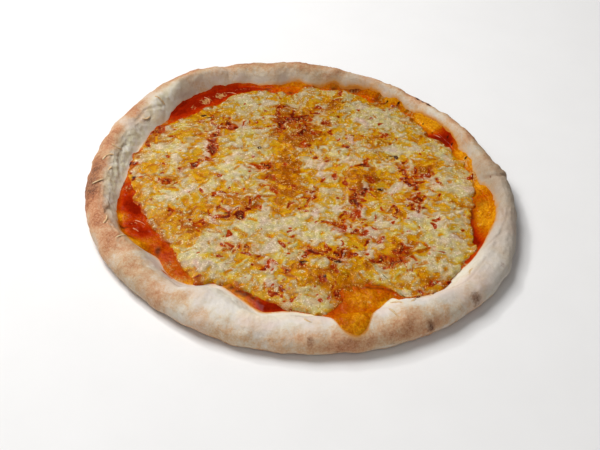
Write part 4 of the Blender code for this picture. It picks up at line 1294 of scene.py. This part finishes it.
def make_shreds():
    random = np.random.default_rng(SHRED_SEED)
    places = []
    faces = []
    veiled = []
    count = SHRED_STEPS * SHRED_SIDES
    for line, half_width, thickness, lift in shred_paths(random):
        radius = np.hypot(line[:, 0], line[:, 1])
        angle = np.degrees(np.arctan2(line[:, 1], line[:, 0]))
        points = np.column_stack((line, dough_top(radius, angle) + lift))
        wave = 1 + 0.22 * np.sin(np.linspace(0, random.uniform(4, 9), SHRED_STEPS) + random.uniform(0, 6))
        first = len(places) * count
        places.append(strip(points, half_width, thickness, wave))
        veiled += [float(thickness == STRAND_THICKNESS)] * count
        faces += grid_faces(SHRED_STEPS, SHRED_SIDES, first)
        faces.append([first + side for side in range(SHRED_SIDES)])
        faces.append([first + count - 1 - side for side in range(SHRED_SIDES)])
    flat = np.concatenate(places) - MIDDLE
    shreds = new_piece("loose_shreds", flat, faces, shred_look(), "crust")
    paint(shreds, {"veiled": veiled})


def shred_look():
    look = Look("baked_shred_skin")
    (veiled,) = look.attributes("veiled")
    grain = look.noise(1.2, detail=2)
    tone = look.add_share(look.noise(4), grain, 0.4)
    baked = look.ramp(tone, (
        (0.25, 196, 152, 106), (0.45, 204, 172, 130), (0.6, 212, 188, 148), (0.8, 222, 206, 172),
    ))
    soaked = look.ramp(tone, ((0.3, 176, 74, 24), (0.5, 190, 116, 72), (0.7, 200, 150, 116)))
    look.cover(look.mix(veiled, baked, soaked), look.between(grain, 0.3, 0.7, 0.4, 0.6))
    look.settle(Specular_IOR_Level=0.1, Coat_Weight=0.2, Coat_Roughness=0.15)
    look.bump(grain, 0.5, 0.5)
    return look.material


# Light, floor and camera

CAMERA_PLACE = (0.001, -0.6288, 0.5356)
CAMERA_AIM = (0.001, -0.0308, 0.0)
CAMERA_ROLL = 1.56
LENS = 66.0
SENSOR = 36.0
FLOOR_HEIGHT = -0.2 * MM


def make_camera():
    place = Vector(CAMERA_PLACE)
    ahead = (Vector(CAMERA_AIM) - place).normalized()
    right = ahead.cross(Vector((0, 0, 1))).normalized()
    up = right.cross(ahead)
    roll = math.radians(CAMERA_ROLL)
    rolled_right = math.cos(roll) * right + math.sin(roll) * up
    rolled_up = math.cos(roll) * up - math.sin(roll) * right
    camera = bpy.data.objects.new("camera", bpy.data.cameras.new("camera"))
    bpy.context.scene.collection.objects.link(camera)
    turn = Matrix((rolled_right, rolled_up, -ahead)).transposed().to_4x4()
    camera.matrix_world = Matrix.Translation(place) @ turn
    camera.data.lens = LENS
    camera.data.sensor_width = SENSOR
    bpy.context.scene.camera = camera


def area_light(name, place, size, power):
    """A square lamp aimed at the middle of the floor."""
    lamp = bpy.data.lights.new(name, "AREA")
    lamp.size = size
    lamp.energy = power
    made = bpy.data.objects.new(name, lamp)
    bpy.context.scene.collection.objects.link(made)
    made.location = place
    made.rotation_euler = (-Vector(place)).to_track_quat("-Z", "Y").to_euler()


def make_studio():
    bpy.ops.mesh.primitive_plane_add(size=6, location=(0, 0, FLOOR_HEIGHT))
    floor = bpy.context.active_object
    floor.name = "floor"
    look = Look("pale_floor")
    look.cover(look.mix(look.noise(40), (0.80, 0.79, 0.78, 1), (0.84, 0.83, 0.82, 1)), 0.85)
    floor.data.materials.append(look.material)
    area_light("key", (-0.6, 0.35, 1.2), 0.8, 19)
    area_light("front", (-0.1, -1.3, 1.1), 1.8, 7)
    area_light("glint", (-0.7, 0.75, 1.05), 0.12, 4)
    world = bpy.data.worlds.new("studio")
    world.use_nodes = True
    backdrop = world.node_tree.nodes["Background"]
    backdrop.inputs["Color"].default_value = (1, 1, 1, 1)
    backdrop.inputs["Strength"].default_value = 0.13
    bpy.context.scene.world = world
    bpy.context.scene.view_settings.view_transform = "Standard"


make_camera()
make_studio()
make_crust()
make_sauce()
make_cheese()
make_shreds()
